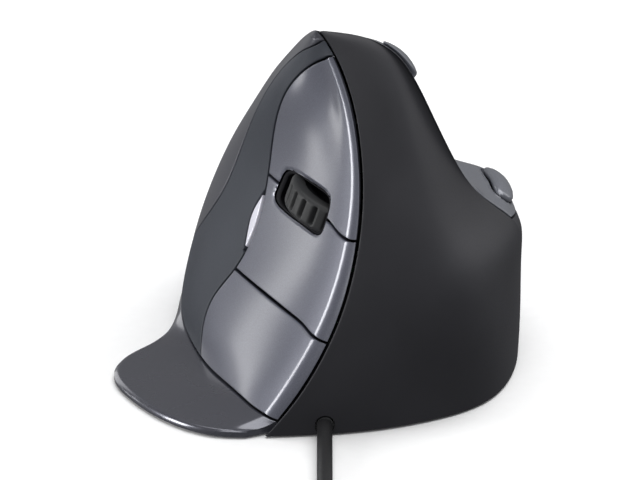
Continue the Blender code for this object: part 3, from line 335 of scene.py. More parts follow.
def stations(count, crowd=1.0):
    """For each station across a cover: its weights on four lines (an edge, the end of its roll, the
    start of the far roll and the far edge), and how far down each roll it is, from 1 to 0."""
    turn = np.linspace(0, math.pi / 2, ROLL_STEPS)
    out, down = 1 - np.cos(turn), 1 - np.sin(turn)
    middle = 1 - (1 - np.linspace(0, 1, count)[1:-1]) ** crowd
    weights = ([(1 - x, x, 0, 0) for x in out] + [(0, 1 - m, m, 0) for m in middle]
               + [(0, 0, x, 1 - x) for x in out[::-1]])
    near = np.concatenate([down, np.zeros(len(middle) + ROLL_STEPS)])
    return np.array(weights), near, near[::-1]


def spread(weights, first, second, third, fourth):
    """Stations between four lines, with rolls that shrink where the lines come together."""
    gap = fourth - first
    second = np.minimum(second, first + 0.42 * gap)
    third = np.maximum(third, fourth - 0.42 * gap)
    return weights[0] * first + weights[1] * second + weights[2] * third + weights[3] * fourth


def rolled_grid(left, right, low, high, columns, rows, crowd=1.0):
    """A grid of (r, k) between two upright and two level edges, each given as (line, shift, roll).
    Also the share of each edge's roll, in the order left, right, low, high."""
    across, near_left, near_right = stations(columns)
    upward, near_low, near_high = stations(rows, crowd)
    lines = [tabled(upright(line, shift), LEVELS - 1) for line, shift in
             ((left[0], left[1]), (left[0], left[1] + left[2]), (right[0], right[1] - right[2]), right[:2])]
    levels = [tabled(level(line, shift), GROOVE) for line, shift in
              ((low[0], low[1]), (low[0], low[1] + low[2]), (high[0], high[1] - high[2]), high[:2])]
    wa, wu = across.T[:, None, :], upward.T[:, :, None]
    bottom, top = low[0](FIRST_R), high[0](FIRST_R)
    k = np.repeat((bottom + (top - bottom) * (upward @ [0, 0, 1, 1]))[:, None], len(across), 1)
    for _ in range(PASSES):
        r = spread(wa, *(line(k) for line in lines))
        k = spread(wu, *(step(r) for step in levels))
    r = spread(wa, *(line(k) for line in lines))
    edges = near_left[None, :], near_right[None, :], near_low[:, None], near_high[:, None]
    return r, k, np.stack([np.broadcast_to(edge, r.shape) for edge in edges])


def thinned(wall, k):
    """A wall's thickness, which halves towards the tip."""
    return wall * (1 - 0.5 * smoothstep((k - 5.5) / 2.5))


def cover(name, grid, depths, look, body, wall=WALL, extra=None):
    """A cover over a rolled grid, whose edges go down by depths, in the order left, right, low, high."""
    r, k, shares = grid
    drop = (shares * np.array(depths)[:, None, None]).max(0)
    if extra is not None:
        drop = np.maximum(drop, extra(r, k))
    outer = place(r, k, drop)
    inner = place(r, k, np.maximum(thinned(wall, k), drop + THINNEST))
    points, faces = walled_points(outer, inner, walled_faces(*r.shape))
    return add_piece(name, points, faces, look, body, (name,))


def opening_shape(centre, half, lean, r, k, power=5.0):
    """How far (r, k) lies outside a round-cornered opening on the skin, in mm."""
    along, up = (np.linalg.norm(s, axis=-1) for s in slopes(np.array(centre[0]), np.array(centre[1])))
    y = (k - centre[1]) / half[1]
    x = (r - centre[0] - lean * y) / half[0]
    size = (np.abs(x) ** power + np.abs(y) ** power) ** (1 / power) + 1e-9
    steep = np.hypot((np.abs(x) / size) ** (power - 1) / (half[0] * along),
                     (np.abs(y) / size) ** (power - 1) / (half[1] * up))
    return (size - 1) / (steep + 1e-9)


def rounded(away, width, depth):
    """How far an edge is rolled down, at a distance away from it."""
    share = np.clip(1 - np.abs(away) / width, 0, 1)
    return depth * (1 - np.sqrt(1 - share ** 2))


def opening_ring(centre, half, lean, count, power=5.0, grow=1.0):
    """(r, k) round the edge of an opening."""
    turn = np.linspace(0, math.tau, count, endpoint=False)
    c, s = np.cos(turn), np.sin(turn)
    size = (np.abs(c) ** power + np.abs(s) ** power) ** (-1 / power)
    x, y = c * size * grow, s * size * grow
    return centre[0] + half[0] * x + lean * y, centre[1] + half[1] * y


def ring_faces(rings, count, closed=False, flip=False):
    """Faces between rings of count points; closed joins the last ring to the first."""
    faces = []
    for n in range(rings if closed else rings - 1):
        m = (n + 1) % rings
        for i in range(count):
            j = (i + 1) % count
            a, b, c, d = n * count + i, n * count + j, m * count + j, m * count + i
            faces.append([a, d, c, b] if flip else [a, b, c, d])
    return faces


def loft(name, rings):
    """A closed temporary solid through matching rings of points, in mm."""
    count = len(rings[0])
    points = np.concatenate(rings)
    faces = ring_faces(len(rings), count)
    faces.append(list(range(count))[::-1])
    faces.append([(len(rings) - 1) * count + i for i in range(count)])
    mesh = bpy.data.meshes.new(name)
    mesh.from_pydata([tuple(p * MM) for p in points], [], faces)
    made = bmesh.new()
    made.from_mesh(mesh)
    bmesh.ops.recalc_face_normals(made, faces=made.faces)
    made.to_mesh(mesh)
    made.free()
    solid = bpy.data.objects.new(name, mesh)
    bpy.context.scene.collection.objects.link(solid)
    return solid


def cut(piece, cutter):
    """Take the cutter out of the piece, and leave the result in its mesh."""
    modifier = piece.modifiers.new("cut", "BOOLEAN")
    modifier.operation = "DIFFERENCE"
    modifier.solver = "EXACT"
    modifier.object = cutter
    bpy.context.view_layer.update()
    graph = bpy.context.evaluated_depsgraph_get()
    mesh = bpy.data.meshes.new_from_object(piece.evaluated_get(graph))
    piece.modifiers.clear()
    piece.data = mesh
    mesh.shade_smooth()
    mesh.set_sharp_from_angle(angle=math.radians(40))


# ---------------------------------------------------------------- materials

def new_look(name):
    """A material, with its nodes, links and shader, and the object coordinates that its noise reads."""
    look = bpy.data.materials.new(name)
    look.use_nodes = True
    nodes, links = look.node_tree.nodes, look.node_tree.links
    shader = nodes["Principled BSDF"]
    coordinates = nodes.new("ShaderNodeTexCoord")
    return look, nodes, links, shader, coordinates.outputs["Object"]


def noise(nodes, links, coordinates, scale, detail=2.0, roughness=0.5):
    made = nodes.new("ShaderNodeTexNoise")
    made.inputs["Scale"].default_value = scale
    made.inputs["Detail"].default_value = detail
    made.inputs["Roughness"].default_value = roughness
    links.new(coordinates, made.inputs["Vector"])
    return made.outputs["Fac"]


def ramp(nodes, links, value, stops):
    """Colours over a value, from (position, colour) stops."""
    made = nodes.new("ShaderNodeValToRGB")
    while len(made.color_ramp.elements) < len(stops):
        made.color_ramp.elements.new(0.5)
    for element, (at, colour) in zip(made.color_ramp.elements, stops):
        element.position = at
        element.color = (*colour, 1.0)
    links.new(value, made.inputs["Fac"])
    return made.outputs["Color"]


def graded(nodes, links, value, low, high):
    """The value from 0 to 1, spread from low to high."""
    made = nodes.new("ShaderNodeMapRange")
    made.inputs["To Min"].default_value = low
    made.inputs["To Max"].default_value = high
    links.new(value, made.inputs["Value"])
    return made.outputs["Result"]


def bump(nodes, links, shader, height, strength, distance):
    made = nodes.new("ShaderNodeBump")
    made.inputs["Strength"].default_value = strength
    made.inputs["Distance"].default_value = distance
    links.new(height, made.inputs["Height"])
    links.new(made.outputs["Normal"], shader.inputs["Normal"])


def metallic_paint(name, colour, metallic, roughness, coat=0.5, flake=0.12, coat_roughness=0.08):
    """Glossy paint with fine metal flakes under a clear coat."""
    look, nodes, links, shader, at = new_look(name)
    flakes = noise(nodes, links, at, 5200.0, 1.0)
    cloud = noise(nodes, links, at, 90.0, 3.0)
    dark = tuple(c * (1 - flake) for c in colour)
    light = tuple(min(1.0, c * (1 + flake)) for c in colour)
    links.new(ramp(nodes, links, flakes, [(0.36, dark), (0.52, colour), (0.68, light)]),
              shader.inputs["Base Color"])
    links.new(graded(nodes, links, cloud, roughness * 0.9, roughness * 1.12), shader.inputs["Roughness"])
    shader.inputs["Metallic"].default_value = metallic
    shader.inputs["Coat Weight"].default_value = coat
    shader.inputs["Coat Roughness"].default_value = coat_roughness
    return look


def moulded(name, colour, roughness, grain, height, variation=0.10, specular=0.5, coat=0.0):
    """Moulded plastic with a fine spark-eroded grain."""
    look, nodes, links, shader, at = new_look(name)
    fine = noise(nodes, links, at, grain, 2.0, 0.6)
    cloud = noise(nodes, links, at, 60.0, 3.0)
    dark = tuple(c * (1 - variation) for c in colour)
    light = tuple(min(1.0, c * (1 + variation)) for c in colour)
    links.new(ramp(nodes, links, cloud, [(0.30, dark), (0.70, light)]), shader.inputs["Base Color"])
    links.new(graded(nodes, links, fine, roughness * 0.85, roughness * 1.15), shader.inputs["Roughness"])
    shader.inputs["Specular IOR Level"].default_value = specular
    shader.inputs["Coat Weight"].default_value = coat
    bump(nodes, links, shader, fine, 0.35, height)
    return look


def brushed(name, colour, roughness):
    """Plain metal with fine drawn lines."""
    look, nodes, links, shader, at = new_look(name)
    stretch = nodes.new("ShaderNodeMapping")
    stretch.inputs["Scale"].default_value = (0.08, 1.0, 1.0)
    links.new(at, stretch.inputs["Vector"])
    lines = noise(nodes, links, stretch.outputs["Vector"], 6000.0, 2.0)
    links.new(ramp(nodes, links, lines, [(0.3, tuple(c * 0.88 for c in colour)), (0.7, colour)]),
              shader.inputs["Base Color"])
    links.new(graded(nodes, links, lines, roughness * 0.8, roughness * 1.3), shader.inputs["Roughness"])
    shader.inputs["Metallic"].default_value = 1.0
    bump(nodes, links, shader, lines, 0.15, 0.00001)
    return look


BUTTON = metallic_paint("button_paint", (0.125, 0.130, 0.165), 0.30, 0.36, 1.0, coat_roughness=0.18)
PALM = metallic_paint("palm_paint", (0.103, 0.105, 0.124), 0.55, 0.34, 0.6)
LIP = metallic_paint("lip_paint", (0.110, 0.112, 0.135), 0.60, 0.27, 1.0, flake=0.06, coat_roughness=0.14)
BAND = moulded("band_plastic", (0.043, 0.048, 0.060), 0.50, 2600.0, 0.00003, specular=0.3)
SHELL = moulded("shell_plastic", (0.035, 0.035, 0.040), 0.52, 3000.0, 0.00002, specular=0.25)
THUMB = metallic_paint("thumb_paint", (0.185, 0.193, 0.222), 0.30, 0.32, 0.8)
DARK = moulded("inner_plastic", (0.008, 0.008, 0.010), 0.65, 1800.0, 0.00003, specular=0.12)
RUBBER = moulded("rubber", (0.030, 0.031, 0.032), 0.55, 3200.0, 0.00003, specular=0.4)
SHEATH = moulded("cord_sheath", (0.011, 0.011, 0.012), 0.48, 2400.0, 0.00003, specular=0.4)
GLIDE = moulded("glide_plastic", (0.050, 0.050, 0.055), 0.32, 1500.0, 0.00002)
BOARD = moulded("board_mask", (0.018, 0.110, 0.045), 0.40, 900.0, 0.00002)
CHIP = moulded("chip_case", (0.016, 0.016, 0.018), 0.45, 2200.0, 0.00002)
WHITE = moulded("contact_plastic", (0.620, 0.610, 0.570), 0.40, 1400.0, 0.00001)
CLEAR = moulded("clear_plastic", (0.780, 0.840, 0.900), 0.08, 900.0, 0.000004)
LENS = moulded("lens_plastic", (0.820, 0.815, 0.900), 0.16, 700.0, 0.000004, variation=0.04, coat=0.6)
STEEL = brushed("plain_steel", (0.60, 0.60, 0.62), 0.26)

CAD_LOOKS = {"button_grey": BUTTON, "palm_grey": PALM, "band_slate": BAND, "shell_black": SHELL,
             "thumb_grey": THUMB, "inner_black": DARK, "rubber_black": RUBBER, "lens_white": LENS,
             "board_green": BOARD, "chip_black": CHIP, "clear_plastic": CLEAR, "steel": STEEL,
             "glide_dark": GLIDE, "switch_white": WHITE, "cord_black": SHEATH}
node_slots = {entry["node"]: entry["material_slot"] for entry in frame["record"]["subparts"]}
for node_name, node in frame["nodes"].items():
    node.data.materials.clear()
    node.data.materials.append(CAD_LOOKS[node_slots[node_name]])
    node.data.shade_smooth()
    node.data.set_sharp_from_angle(angle=math.radians(35))


# ---------------------------------------------------------------- camera and cord

TARGET = Vector((0.2, 0.0, 36.0)) * MM
ELEVATION, DISTANCE = math.radians(22.0), 1.70
AIM_DOWN, AIM_RIGHT = 0.0141, 0.0003
back = Vector((0.0, -math.cos(ELEVATION), math.sin(ELEVATION)))
view_up = Vector((0.0, math.sin(ELEVATION), math.cos(ELEVATION)))
camera_data = bpy.data.cameras.new("camera")
camera_data.lens = 484.0
camera_data.sensor_width = 36.0
camera = bpy.data.objects.new("camera", camera_data)
bpy.context.scene.collection.objects.link(camera)
camera.location = TARGET + back * DISTANCE
aim = TARGET - view_up * AIM_DOWN + Vector((AIM_RIGHT, 0.0, 0.0))
camera.rotation_mode = "QUATERNION"
camera.rotation_quaternion = (aim - camera.location).to_track_quat("-Z", "Y")
bpy.context.scene.camera = camera


def smooth_path(points, spacing):
    """Evenly spaced points on the spline through the given points, in mm."""
    points = np.array(points, float)
    fine = spline_weights(len(points), np.linspace(0, len(points) - 1, len(points) * 40)) @ points
    run = np.concatenate([[0], np.cumsum(np.linalg.norm(np.diff(fine, axis=0), axis=1))])
    at = np.linspace(0, run[-1], max(2, round(run[-1] / spacing) + 1))
    return np.stack([np.interp(at, run, fine[:, axis]) for axis in range(3)], 1)


def cord_route():
    """From the mouse to the coil, round its turns, and out to the plug."""
    low, rise, pitch = 1.53, 2.75, 3.05
    widest, tightest, last = 24.2, 13.5, 16.0
    steps, last_steps = 28, 23
    lead = [(CORD_X, -47.0, EXIT_Z), (CORD_X, -50.2, EXIT_Z), (CORD_X, -54, 2.05), (CORD_X, -60, 1.7),
            (CORD_X, -68, low), (CORD_X, -78, low), (CORD_X, -90, low), (CORD_X + 0.2, -102, low),
            (CORD_X + 0.8, -112, low), (CORD_X + 1.6, -121, low), (CORD_X + 2.2, -129.9, low)]
    turns = ([(widest - pitch * n, 0) for n in range(5)] + [(tightest + pitch * n, 1) for n in range(4)]
             + [(widest - pitch * n, 2) for n in range(5)] + [(last, 3), (last, 3)])
    coil = []
    for n in range(len(turns) - 1):
        (r_a, layer_a), (r_b, layer_b) = turns[n], turns[n + 1]
        for step in range(steps if n < len(turns) - 2 else last_steps):
            share = step / steps
            jog = float(smoothstep((share - 0.55) / 0.40))
            r = r_a + (r_b - r_a) * jog
            z = low + rise * (layer_a + (layer_b - layer_a) * jog)
            angle = -math.tau * share
            coil.append((COIL_CENTRE[0] + r * math.cos(angle), COIL_CENTRE[1] + r * math.sin(angle), z))
    out = [(COIL_CENTRE[0] + x, COIL_CENTRE[1] + y, z) for x, y, z in
           ((12.0, 12.6, 9.85), (18.2, 9.9, 9.95), (24.4, 7.2, 9.9), (29.8, 4.6, 8.9), (34.2, 1.3, 7.1),
            (37.3, -2.8, 5.2), (38.4, -6.6, 4.2), (38.6, -10.5, 4.0))]
    return np.concatenate([smooth_path(lead, 3.0)[:-1], smooth_path(coil + out, 3.2)])


def make_cord():
    """The cord, which stands for the CAD's tube, coil and tail."""
    route = cord_route()
    curve = bpy.data.curves.new("cord_line", "CURVE")
    curve.dimensions = "3D"
    curve.bevel_depth = CORD_D / 2 * MM
    curve.bevel_resolution = 4
    curve.use_fill_caps = True
    line = curve.splines.new("POLY")
    line.points.add(len(route) - 1)
    for point, (x, y, z) in zip(line.points, route):
        point.co = (x * MM, y * MM, z * MM, 1)
    line.use_smooth = True
    curve.materials.append(SHEATH)
    piece = bpy.data.objects.new("cord_line", curve)
    bpy.context.scene.collection.objects.link(piece)
    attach(piece, "body")
    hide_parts("cord", "cord_coil", "cord_tail")


make_cord()


# ---------------------------------------------------------------- covers

CHAMFER, BEVEL_SLOPE, BEVEL_SOFT = 3.6, 0.62, 1.5
ROLL = 0.32
BAND_ROLL, BAND_DEPTH = 0.25, 0.22
SLOT_ROLL, SLOT_DEPTH = 0.5, 0.42
SLOT_FLARE, FLARE_FROM = 1.38, 0.15
LENS_LOW_K, LENS_HIGH_K = 2.55, 3.72
HOLE_ROLL, HOLE_DEPTH, HOLE_POWER = 0.5, 0.4, 3.0
# How far the hole for a thumb button, and the rolled edge round it, lie outside the button.
HOLE_MARGIN, HOLE_EDGE = (0.045, 0.070), (0.06, 0.095)


def groove_bevel(r, k):
    """How far the edge beside the groove drops: a bevel behind a soft crease, narrower towards the tip."""
    along = np.linalg.norm(slopes(np.full(np.shape(k), GROOVE - 0.02), k)[0], axis=-1)
    width = CHAMFER * (1 - 0.55 * smoothstep((k - 1.0) / 6.0))
    into = np.maximum(width - ((GROOVE - r) * along - GROOVE_GAP), 0.0)
    return BEVEL_SLOPE * (np.sqrt(into ** 2 + BEVEL_SOFT ** 2) - BEVEL_SOFT)


def make_buttons():
    """The three finger buttons; the wheel's slot is cut out of the upper two."""
    half = SEAM_GAP / 2 + 0.10
    rear, groove = (PANEL_REAR, SEAM_GAP * 0.7, ROLL), (fixed(GROOVE), -GROOVE_GAP, 0.6)
    tip = fixed(BUTTON_TOP_K)
    plans = {"button_top": ((BUTTON_SEAM_TOP, half, ROLL), (tip, 0.0, 0.2), 150, 150, 1.7),
             "button_middle": ((BUTTON_SEAM_LOW, half, ROLL), (BUTTON_SEAM_TOP, -half, ROLL), 150, 90, 1.0),
             "button_bottom": ((LIP_SEAM, half, ROLL), (BUTTON_SEAM_LOW, -half, ROLL), 110, 80, 1.0)}
    count = 96
    ring_above = opening_ring(WHEEL_PLACE, SLOT_HALF, SLOT_LEAN, count)
    ring_below = opening_ring(WHEEL_PLACE, SLOT_HALF, SLOT_LEAN, count, grow=SLOT_FLARE)
    cutter = loft("slot_cutter", [place(*ring_above, np.full(count, -3.0)),
                                  place(*ring_above, np.full(count, FLARE_FROM)),
                                  place(*ring_below, np.full(count, 3.0))])

    def beside_slot(r, k):
        away = opening_shape(WHEEL_PLACE, SLOT_HALF, SLOT_LEAN, r, k)
        return np.maximum(groove_bevel(r, k), rounded(away, SLOT_ROLL, SLOT_DEPTH))
    for name, (low, high, columns, rows, crowd) in plans.items():
        grid = rolled_grid(rear, groove, low, high, columns, rows, crowd)
        drop = groove_bevel if name == "button_bottom" else beside_slot
        piece = cover(name, grid, (ROLL, 0.0, ROLL, ROLL), BUTTON, name, BUTTON_WALL, drop)
        if name != "button_bottom":
            cut(piece, cutter)
    bpy.data.objects.remove(cutter, do_unlink=True)


def make_band():
    """The dark grip between the palm shell and the buttons, drawn in beside the lens."""
    def edge(k):
        beside_lens = (k > LENS_LOW_K) & (k < LENS_HIGH_K)
        front = PANEL_REAR(k)
        return np.minimum(np.where(beside_lens, np.minimum(LENS_REAR(k), front), front), GROOVE)
    grid = rolled_grid((BAND_REAR, SEAM_GAP / 2, BAND_ROLL), (edge, -SEAM_GAP / 2, BAND_ROLL),
                       (LIP_SEAM, SEAM_GAP / 2, ROLL), (fixed(BAND_TOP_K), 0.0, 0.2), 60, 260)
    cover("grip_band", grid, (BAND_DEPTH, BAND_DEPTH, ROLL, 0.2), BAND, "body")


def make_lens():
    """The crescent lens of the status light, between the band and the buttons."""
    grid = rolled_grid((LENS_REAR, SEAM_GAP / 2, 0.3), (PANEL_REAR, -0.55, 0.3),
                       (fixed(2.64), 0.0, 0.2), (fixed(3.62), 0.0, 0.2), 12, 70)
    cover("status_lens", grid, (0.25, 0.35, 0.3, 0.3), LENS, "body", LENS_WALL)


def make_palm():
    """The shell under the palm."""
    grid = rolled_grid((fixed(RIDGE), SEAM_GAP / 2, ROLL), (BAND_REAR, -SEAM_GAP / 2, BAND_ROLL),
                       (LIP_SEAM, SEAM_GAP / 2, ROLL), (fixed(PALM_TOP_K), 0.0, 0.1), 130, 190)
    cover("palm_shell", grid, (ROLL, BAND_DEPTH, ROLL, 0.1), PALM, "body")


def widened(half, margins):
    return tuple(h + margin for h, margin in zip(half, margins))


def make_thumb_panel():
    """The panel over the thumb's ledge, with its two buttons."""
    grid = rolled_grid((fixed(THUMB_EDGE), SEAM_GAP * 0.6, ROLL), (fixed(RIDGE), -SEAM_GAP / 2, ROLL),
                       (LEDGE_SEAM, SEAM_GAP * 0.8, ROLL), (fixed(PANEL_TOP_K), 0.0, 0.1), 130, 160)

    def around_buttons(r, k):
        drop = np.zeros(r.shape)
        for centre, half, _crown in THUMB_BUTTONS.values():
            away = opening_shape(centre, widened(half, HOLE_EDGE), 0.0, r, k, HOLE_POWER)
            drop = np.maximum(drop, rounded(away, HOLE_ROLL, HOLE_DEPTH))
        return drop
    panel = cover("thumb_panel", grid, (ROLL, ROLL, ROLL, 0.1), THUMB, "body", WALL,
                  around_buttons)
    count = 80
    for name, (centre, half, crown) in THUMB_BUTTONS.items():
        ring = opening_ring(centre, widened(half, HOLE_MARGIN), 0.0, count, HOLE_POWER)
        cutter = loft("hole_cutter", [place(*ring, np.full(count, depth)) for depth in (-1.5, 3.5)])
        cut(panel, cutter)
        bpy.data.objects.remove(cutter, do_unlink=True)
        make_thumb_button(name, centre, half, crown)


def make_thumb_button(name, centre, half, crown):
    """A crowned button with rolled edges."""
    count, edge_depth = 96, 0.4
    profile = [(0.86, 1.5), (0.98, 0.5)]
    profile += [(1.0 - 0.16 * (1 - math.cos(a)), edge_depth - (crown + edge_depth) * math.sin(a))
                for a in np.linspace(0, math.pi / 2, 9)[1:]]
    profile += [(s, -crown - 0.35 * (1 - s * s)) for s in (0.7, 0.5, 0.3, 0.1)]
    rings = [place(*opening_ring(centre, half, 0.0, count, HOLE_POWER, size), np.full(count, depth))
             for size, depth in profile]
    solid = loft(name + "_cap", rings)
    mesh = solid.data
    bpy.data.objects.remove(solid, do_unlink=True)
    add_made(name + "_cap", mesh, THUMB, name, (name,), 50)


def make_front_shell():
    """The front face, and the wall that it continues into under the thumb ledge."""
    front, side, low_rows, high_rows = 90, 70, 46, 130
    ledge, ledge_in = level(LEDGE_SEAM, -SEAM_GAP / 2), level(LEDGE_SEAM, -SEAM_GAP / 2 - ROLL)
    at_edge = np.array([float(THUMB_EDGE)])
    corner = float(ledge(at_edge)[0])
    turn = np.linspace(0, math.pi / 2, ROLL_STEPS)
    out, down = 1 - np.cos(turn), 1 - np.sin(turn)
    flat = np.linspace(0, 1, front)[1:-1]
    roll_at = ROLL_STEPS + len(flat)
    edge_at = roll_at + ROLL_STEPS
    columns = edge_at + side
    upper_at = low_rows + ROLL_STEPS
    rows = upper_at + high_rows
    side_r = THUMB_EDGE + (RIDGE - THUMB_EDGE) * np.linspace(0, 1, side + 1)[1:] ** 1.3
    t_low = np.linspace(0, 1, low_rows + 1)[:-1]
    t_high = np.linspace(0, 1, high_rows + 1)[1:]
    top = np.full(columns, corner)
    top[edge_at:] = ledge(side_r)
    top_in = np.full(columns, corner - (ledge(at_edge) - ledge_in(at_edge)))
    top_in[edge_at:] = ledge_in(side_r)
    r, k, drop = np.zeros((rows, columns)), np.zeros((rows, columns)), np.zeros((rows, columns))
    k[:low_rows] = BASE_K + (top_in - BASE_K) * t_low[:, None]
    k[low_rows:upper_at] = top_in + (top - top_in) * (1 - out[::-1])[:, None]
    k[upper_at:] = corner + (SHELL_TOP_K - corner) * t_high[:, None]
    for i in range(rows):
        left_mm, right_mm, side_mm = (float(np.linalg.norm(slopes(np.array(at), k[i, 0])[0]))
                                      for at in (0.0, THUMB_EDGE - 0.001, RIDGE - 0.01))
        left, left_in = SEAM_GAP / left_mm, (SEAM_GAP + 0.5) / left_mm
        right = THUMB_EDGE - (SEAM_GAP * 0.6 / right_mm if i >= upper_at else 0.0)
        right_in = right - min(0.3, 0.4 / right_mm)
        r[i, :ROLL_STEPS] = left + (left_in - left) * out
        r[i, ROLL_STEPS:roll_at] = left_in + (right_in - left_in) * flat
        r[i, roll_at:edge_at] = right_in + (right - right_in) * (1 - out[::-1])
        r[i, edge_at:] = np.minimum(side_r, RIDGE - SEAM_GAP / 2 / side_mm)
        drop[i, :ROLL_STEPS] = 0.45 * down
        if i >= upper_at:
            drop[i, roll_at:edge_at] = 0.3 * down[::-1] * smoothstep((k[i, 0] - corner) / 0.1)
    roll = np.zeros((rows, columns))
    roll[low_rows:upper_at] = ROLL * down[::-1][:, None]
    drop = np.maximum(drop, roll * smoothstep((r - THUMB_EDGE) / 0.12))
    kept = np.ones((rows - 1, columns - 1), bool)
    kept[upper_at - 1:, edge_at - 1:] = False
    outer = place(r, k, drop)
    inner = place(r, k, np.maximum(thinned(WALL, k), drop + THINNEST))
    points, faces = walled_points(outer, inner, walled_faces(rows, columns, kept))
    shell = add_piece("front_shell_cover", points, faces, SHELL, "body", ("front_shell",))
    count, notch = 40, 2.0
    turn = np.linspace(0, math.tau, count, endpoint=False)
    rings = [np.stack([CORD_X + notch * np.cos(turn), np.full(count, y), EXIT_Z + notch * np.sin(turn)], 1)
             for y in (-53.0, -44.0)]
    cutter = loft("notch_cutter", rings)
    cut(shell, cutter)
    bpy.data.objects.remove(cutter, do_unlink=True)


# Rim of the finger lip: (r, X, Y) round the finger side, at the level of the base.
LIP_RIM = np.array([
    (8, 13.0, 48.4), (9, -2.0, 51.0), (10, -16.3, 42.2), (10.6, -23.2, 31.0), (11.0, -27.0, 19.4),
    (11.3, -28.0, 10.0), (11.6, -29.4, 0.5), (11.85, -32.2, -6.5), (12.15, -36.4, -11.8),
    (12.5, -39.4, -17.2), (12.8, -39.8, -24.0), (13.15, -37.2, -31.5), (13.5, -32.6, -39.4),
    (13.9, -27.0, -45.9), (14.3, -21.2, -49.8), (14.7, -16.0, -50.9), (15, -12.2, -50.7)])
LIP_TOP, LIP_K, RIM_Z = 1.9, 0.3, 0.9
HOLLOW, RIM_FROM, RIM_DEPTH, SEAM_SHARE = 2.4, 0.93, 0.7, 0.03


def make_lip():
    """The ledge for the little finger: a hollow-sided skirt that runs out to a thin rolled rim."""
    last, end = 14.7, 16
    r = np.concatenate([np.linspace(RIDGE, 11, 60)[:-1], np.linspace(11, last, 170)[:-1],
                        np.linspace(last, GROOVE, end)])
    along = np.linalg.norm(slopes(r, np.full(r.shape, LIP_K))[0], axis=-1)
    r[0] += SEAM_GAP / 2 / along[0]
    r[-1] -= GROOVE_GAP / along[-1]
    r = np.minimum(r, r[-1])
    r[-end:] = np.linspace(last, r[-1], end)
    count = len(LIP_RIM)
    line = spline_weights(count, np.linspace(0, count - 1, 800)) @ LIP_RIM
    rim = np.stack([np.interp(r, line[:, 0], line[:, 1]), np.interp(r, line[:, 0], line[:, 2])], -1)
    k = level(LIP_SEAM, -SEAM_GAP / 2)(r)
    top = place(r, k, np.zeros(r.shape))
    back_line = place(r, k, np.full(r.shape, WALL))
    reach = np.linalg.norm(rim - top[:, :2], axis=-1)
    flange = smoothstep((reach - 1.5) / 5.0)
    into = inward(r, np.full(r.shape, LIP_K))
    bevel = groove_bevel(r, np.full(r.shape, LIP_K))
    rows = [top + into * (bevel + ROLL)[:, None]]
    for w in np.concatenate([np.linspace(0.0, SEAM_SHARE, 4), np.linspace(0.05, 1, 34)]):
        seam_roll = ROLL * (1 - math.sqrt(1 - max(0.0, 1 - w / SEAM_SHARE) ** 2))
        plan = top[:, :2] + (rim - top[:, :2]) * w
        straight = top[:, 2] + (BASE_Z + RIM_Z - top[:, 2]) * w
        hollow = LIP_TOP + (top[:, 2] - LIP_TOP) * (1 - w) ** HOLLOW
        past = max(0.0, (w - RIM_FROM) / (1 - RIM_FROM))
        edge = RIM_DEPTH * (1 - math.sqrt(max(0.0, 1 - past ** 2)))
        points = np.column_stack([plan, straight + (hollow - straight) * flange - edge])
        points += into * (seam_roll + bevel * (1 - w) ** 0.5)[:, None]
        rows.append(points)
    rows.append(np.column_stack([rim, np.full(len(r), BASE_Z)]))
    rows.append(np.column_stack([back_line[:, :2], np.full(len(r), BASE_Z)]))
    rows.append(back_line)
    ring = np.stack(rows)
    ring[..., 2] = np.maximum(ring[..., 2], BASE_Z)
    stations_count, across = len(r), len(rows)
    points = ring.transpose(1, 0, 2).reshape(-1, 3)
    faces = []
    for i in range(stations_count - 1):
        for j in range(across):
            a, b = i * across + j, i * across + (j + 1) % across
            faces.append([b + across, a + across, a, b])
    faces.append(list(reversed(range(across))))
    faces.append([(stations_count - 1) * across + j for j in range(across)])
    add_piece("finger_lip_skirt", points, faces, LIP, "body", ("finger_lip",))


# ---------------------------------------------------------------- scroll wheel

def wheel_axes():
    """Centre on the skin, axle direction, outward direction and rolling direction."""
    r, k = (np.array(value) for value in WHEEL_PLACE)
    along, up = slopes(r, k)
    out = outward(r, k)
    axle = unit(SLOT_LEAN * along + SLOT_HALF[1] * up)
    axle = unit(axle - out * (axle @ out))
    return skin(r, k), axle, out, np.cross(axle, out)


def make_bezel():
    """The dark frame that lines the wheel's slot."""
    count = 120
    section = ((0.985, 2.2), (0.985, 0.50), (0.965, 0.30), (0.93, 0.24), (0.895, 0.30), (0.875, 0.50),
               (0.875, 0.8), (0.93, 2.2))
    rings = []
    for grow, depth in section:
        r, k = opening_ring(WHEEL_PLACE, SLOT_HALF, SLOT_LEAN, count, grow=grow)
        rings.append(place(r, k, np.full(count, depth)))
    faces = ring_faces(len(rings), count, closed=True, flip=True)
    add_piece("wheel_bezel", np.concatenate(rings), faces, DARK, "body", (), 50)


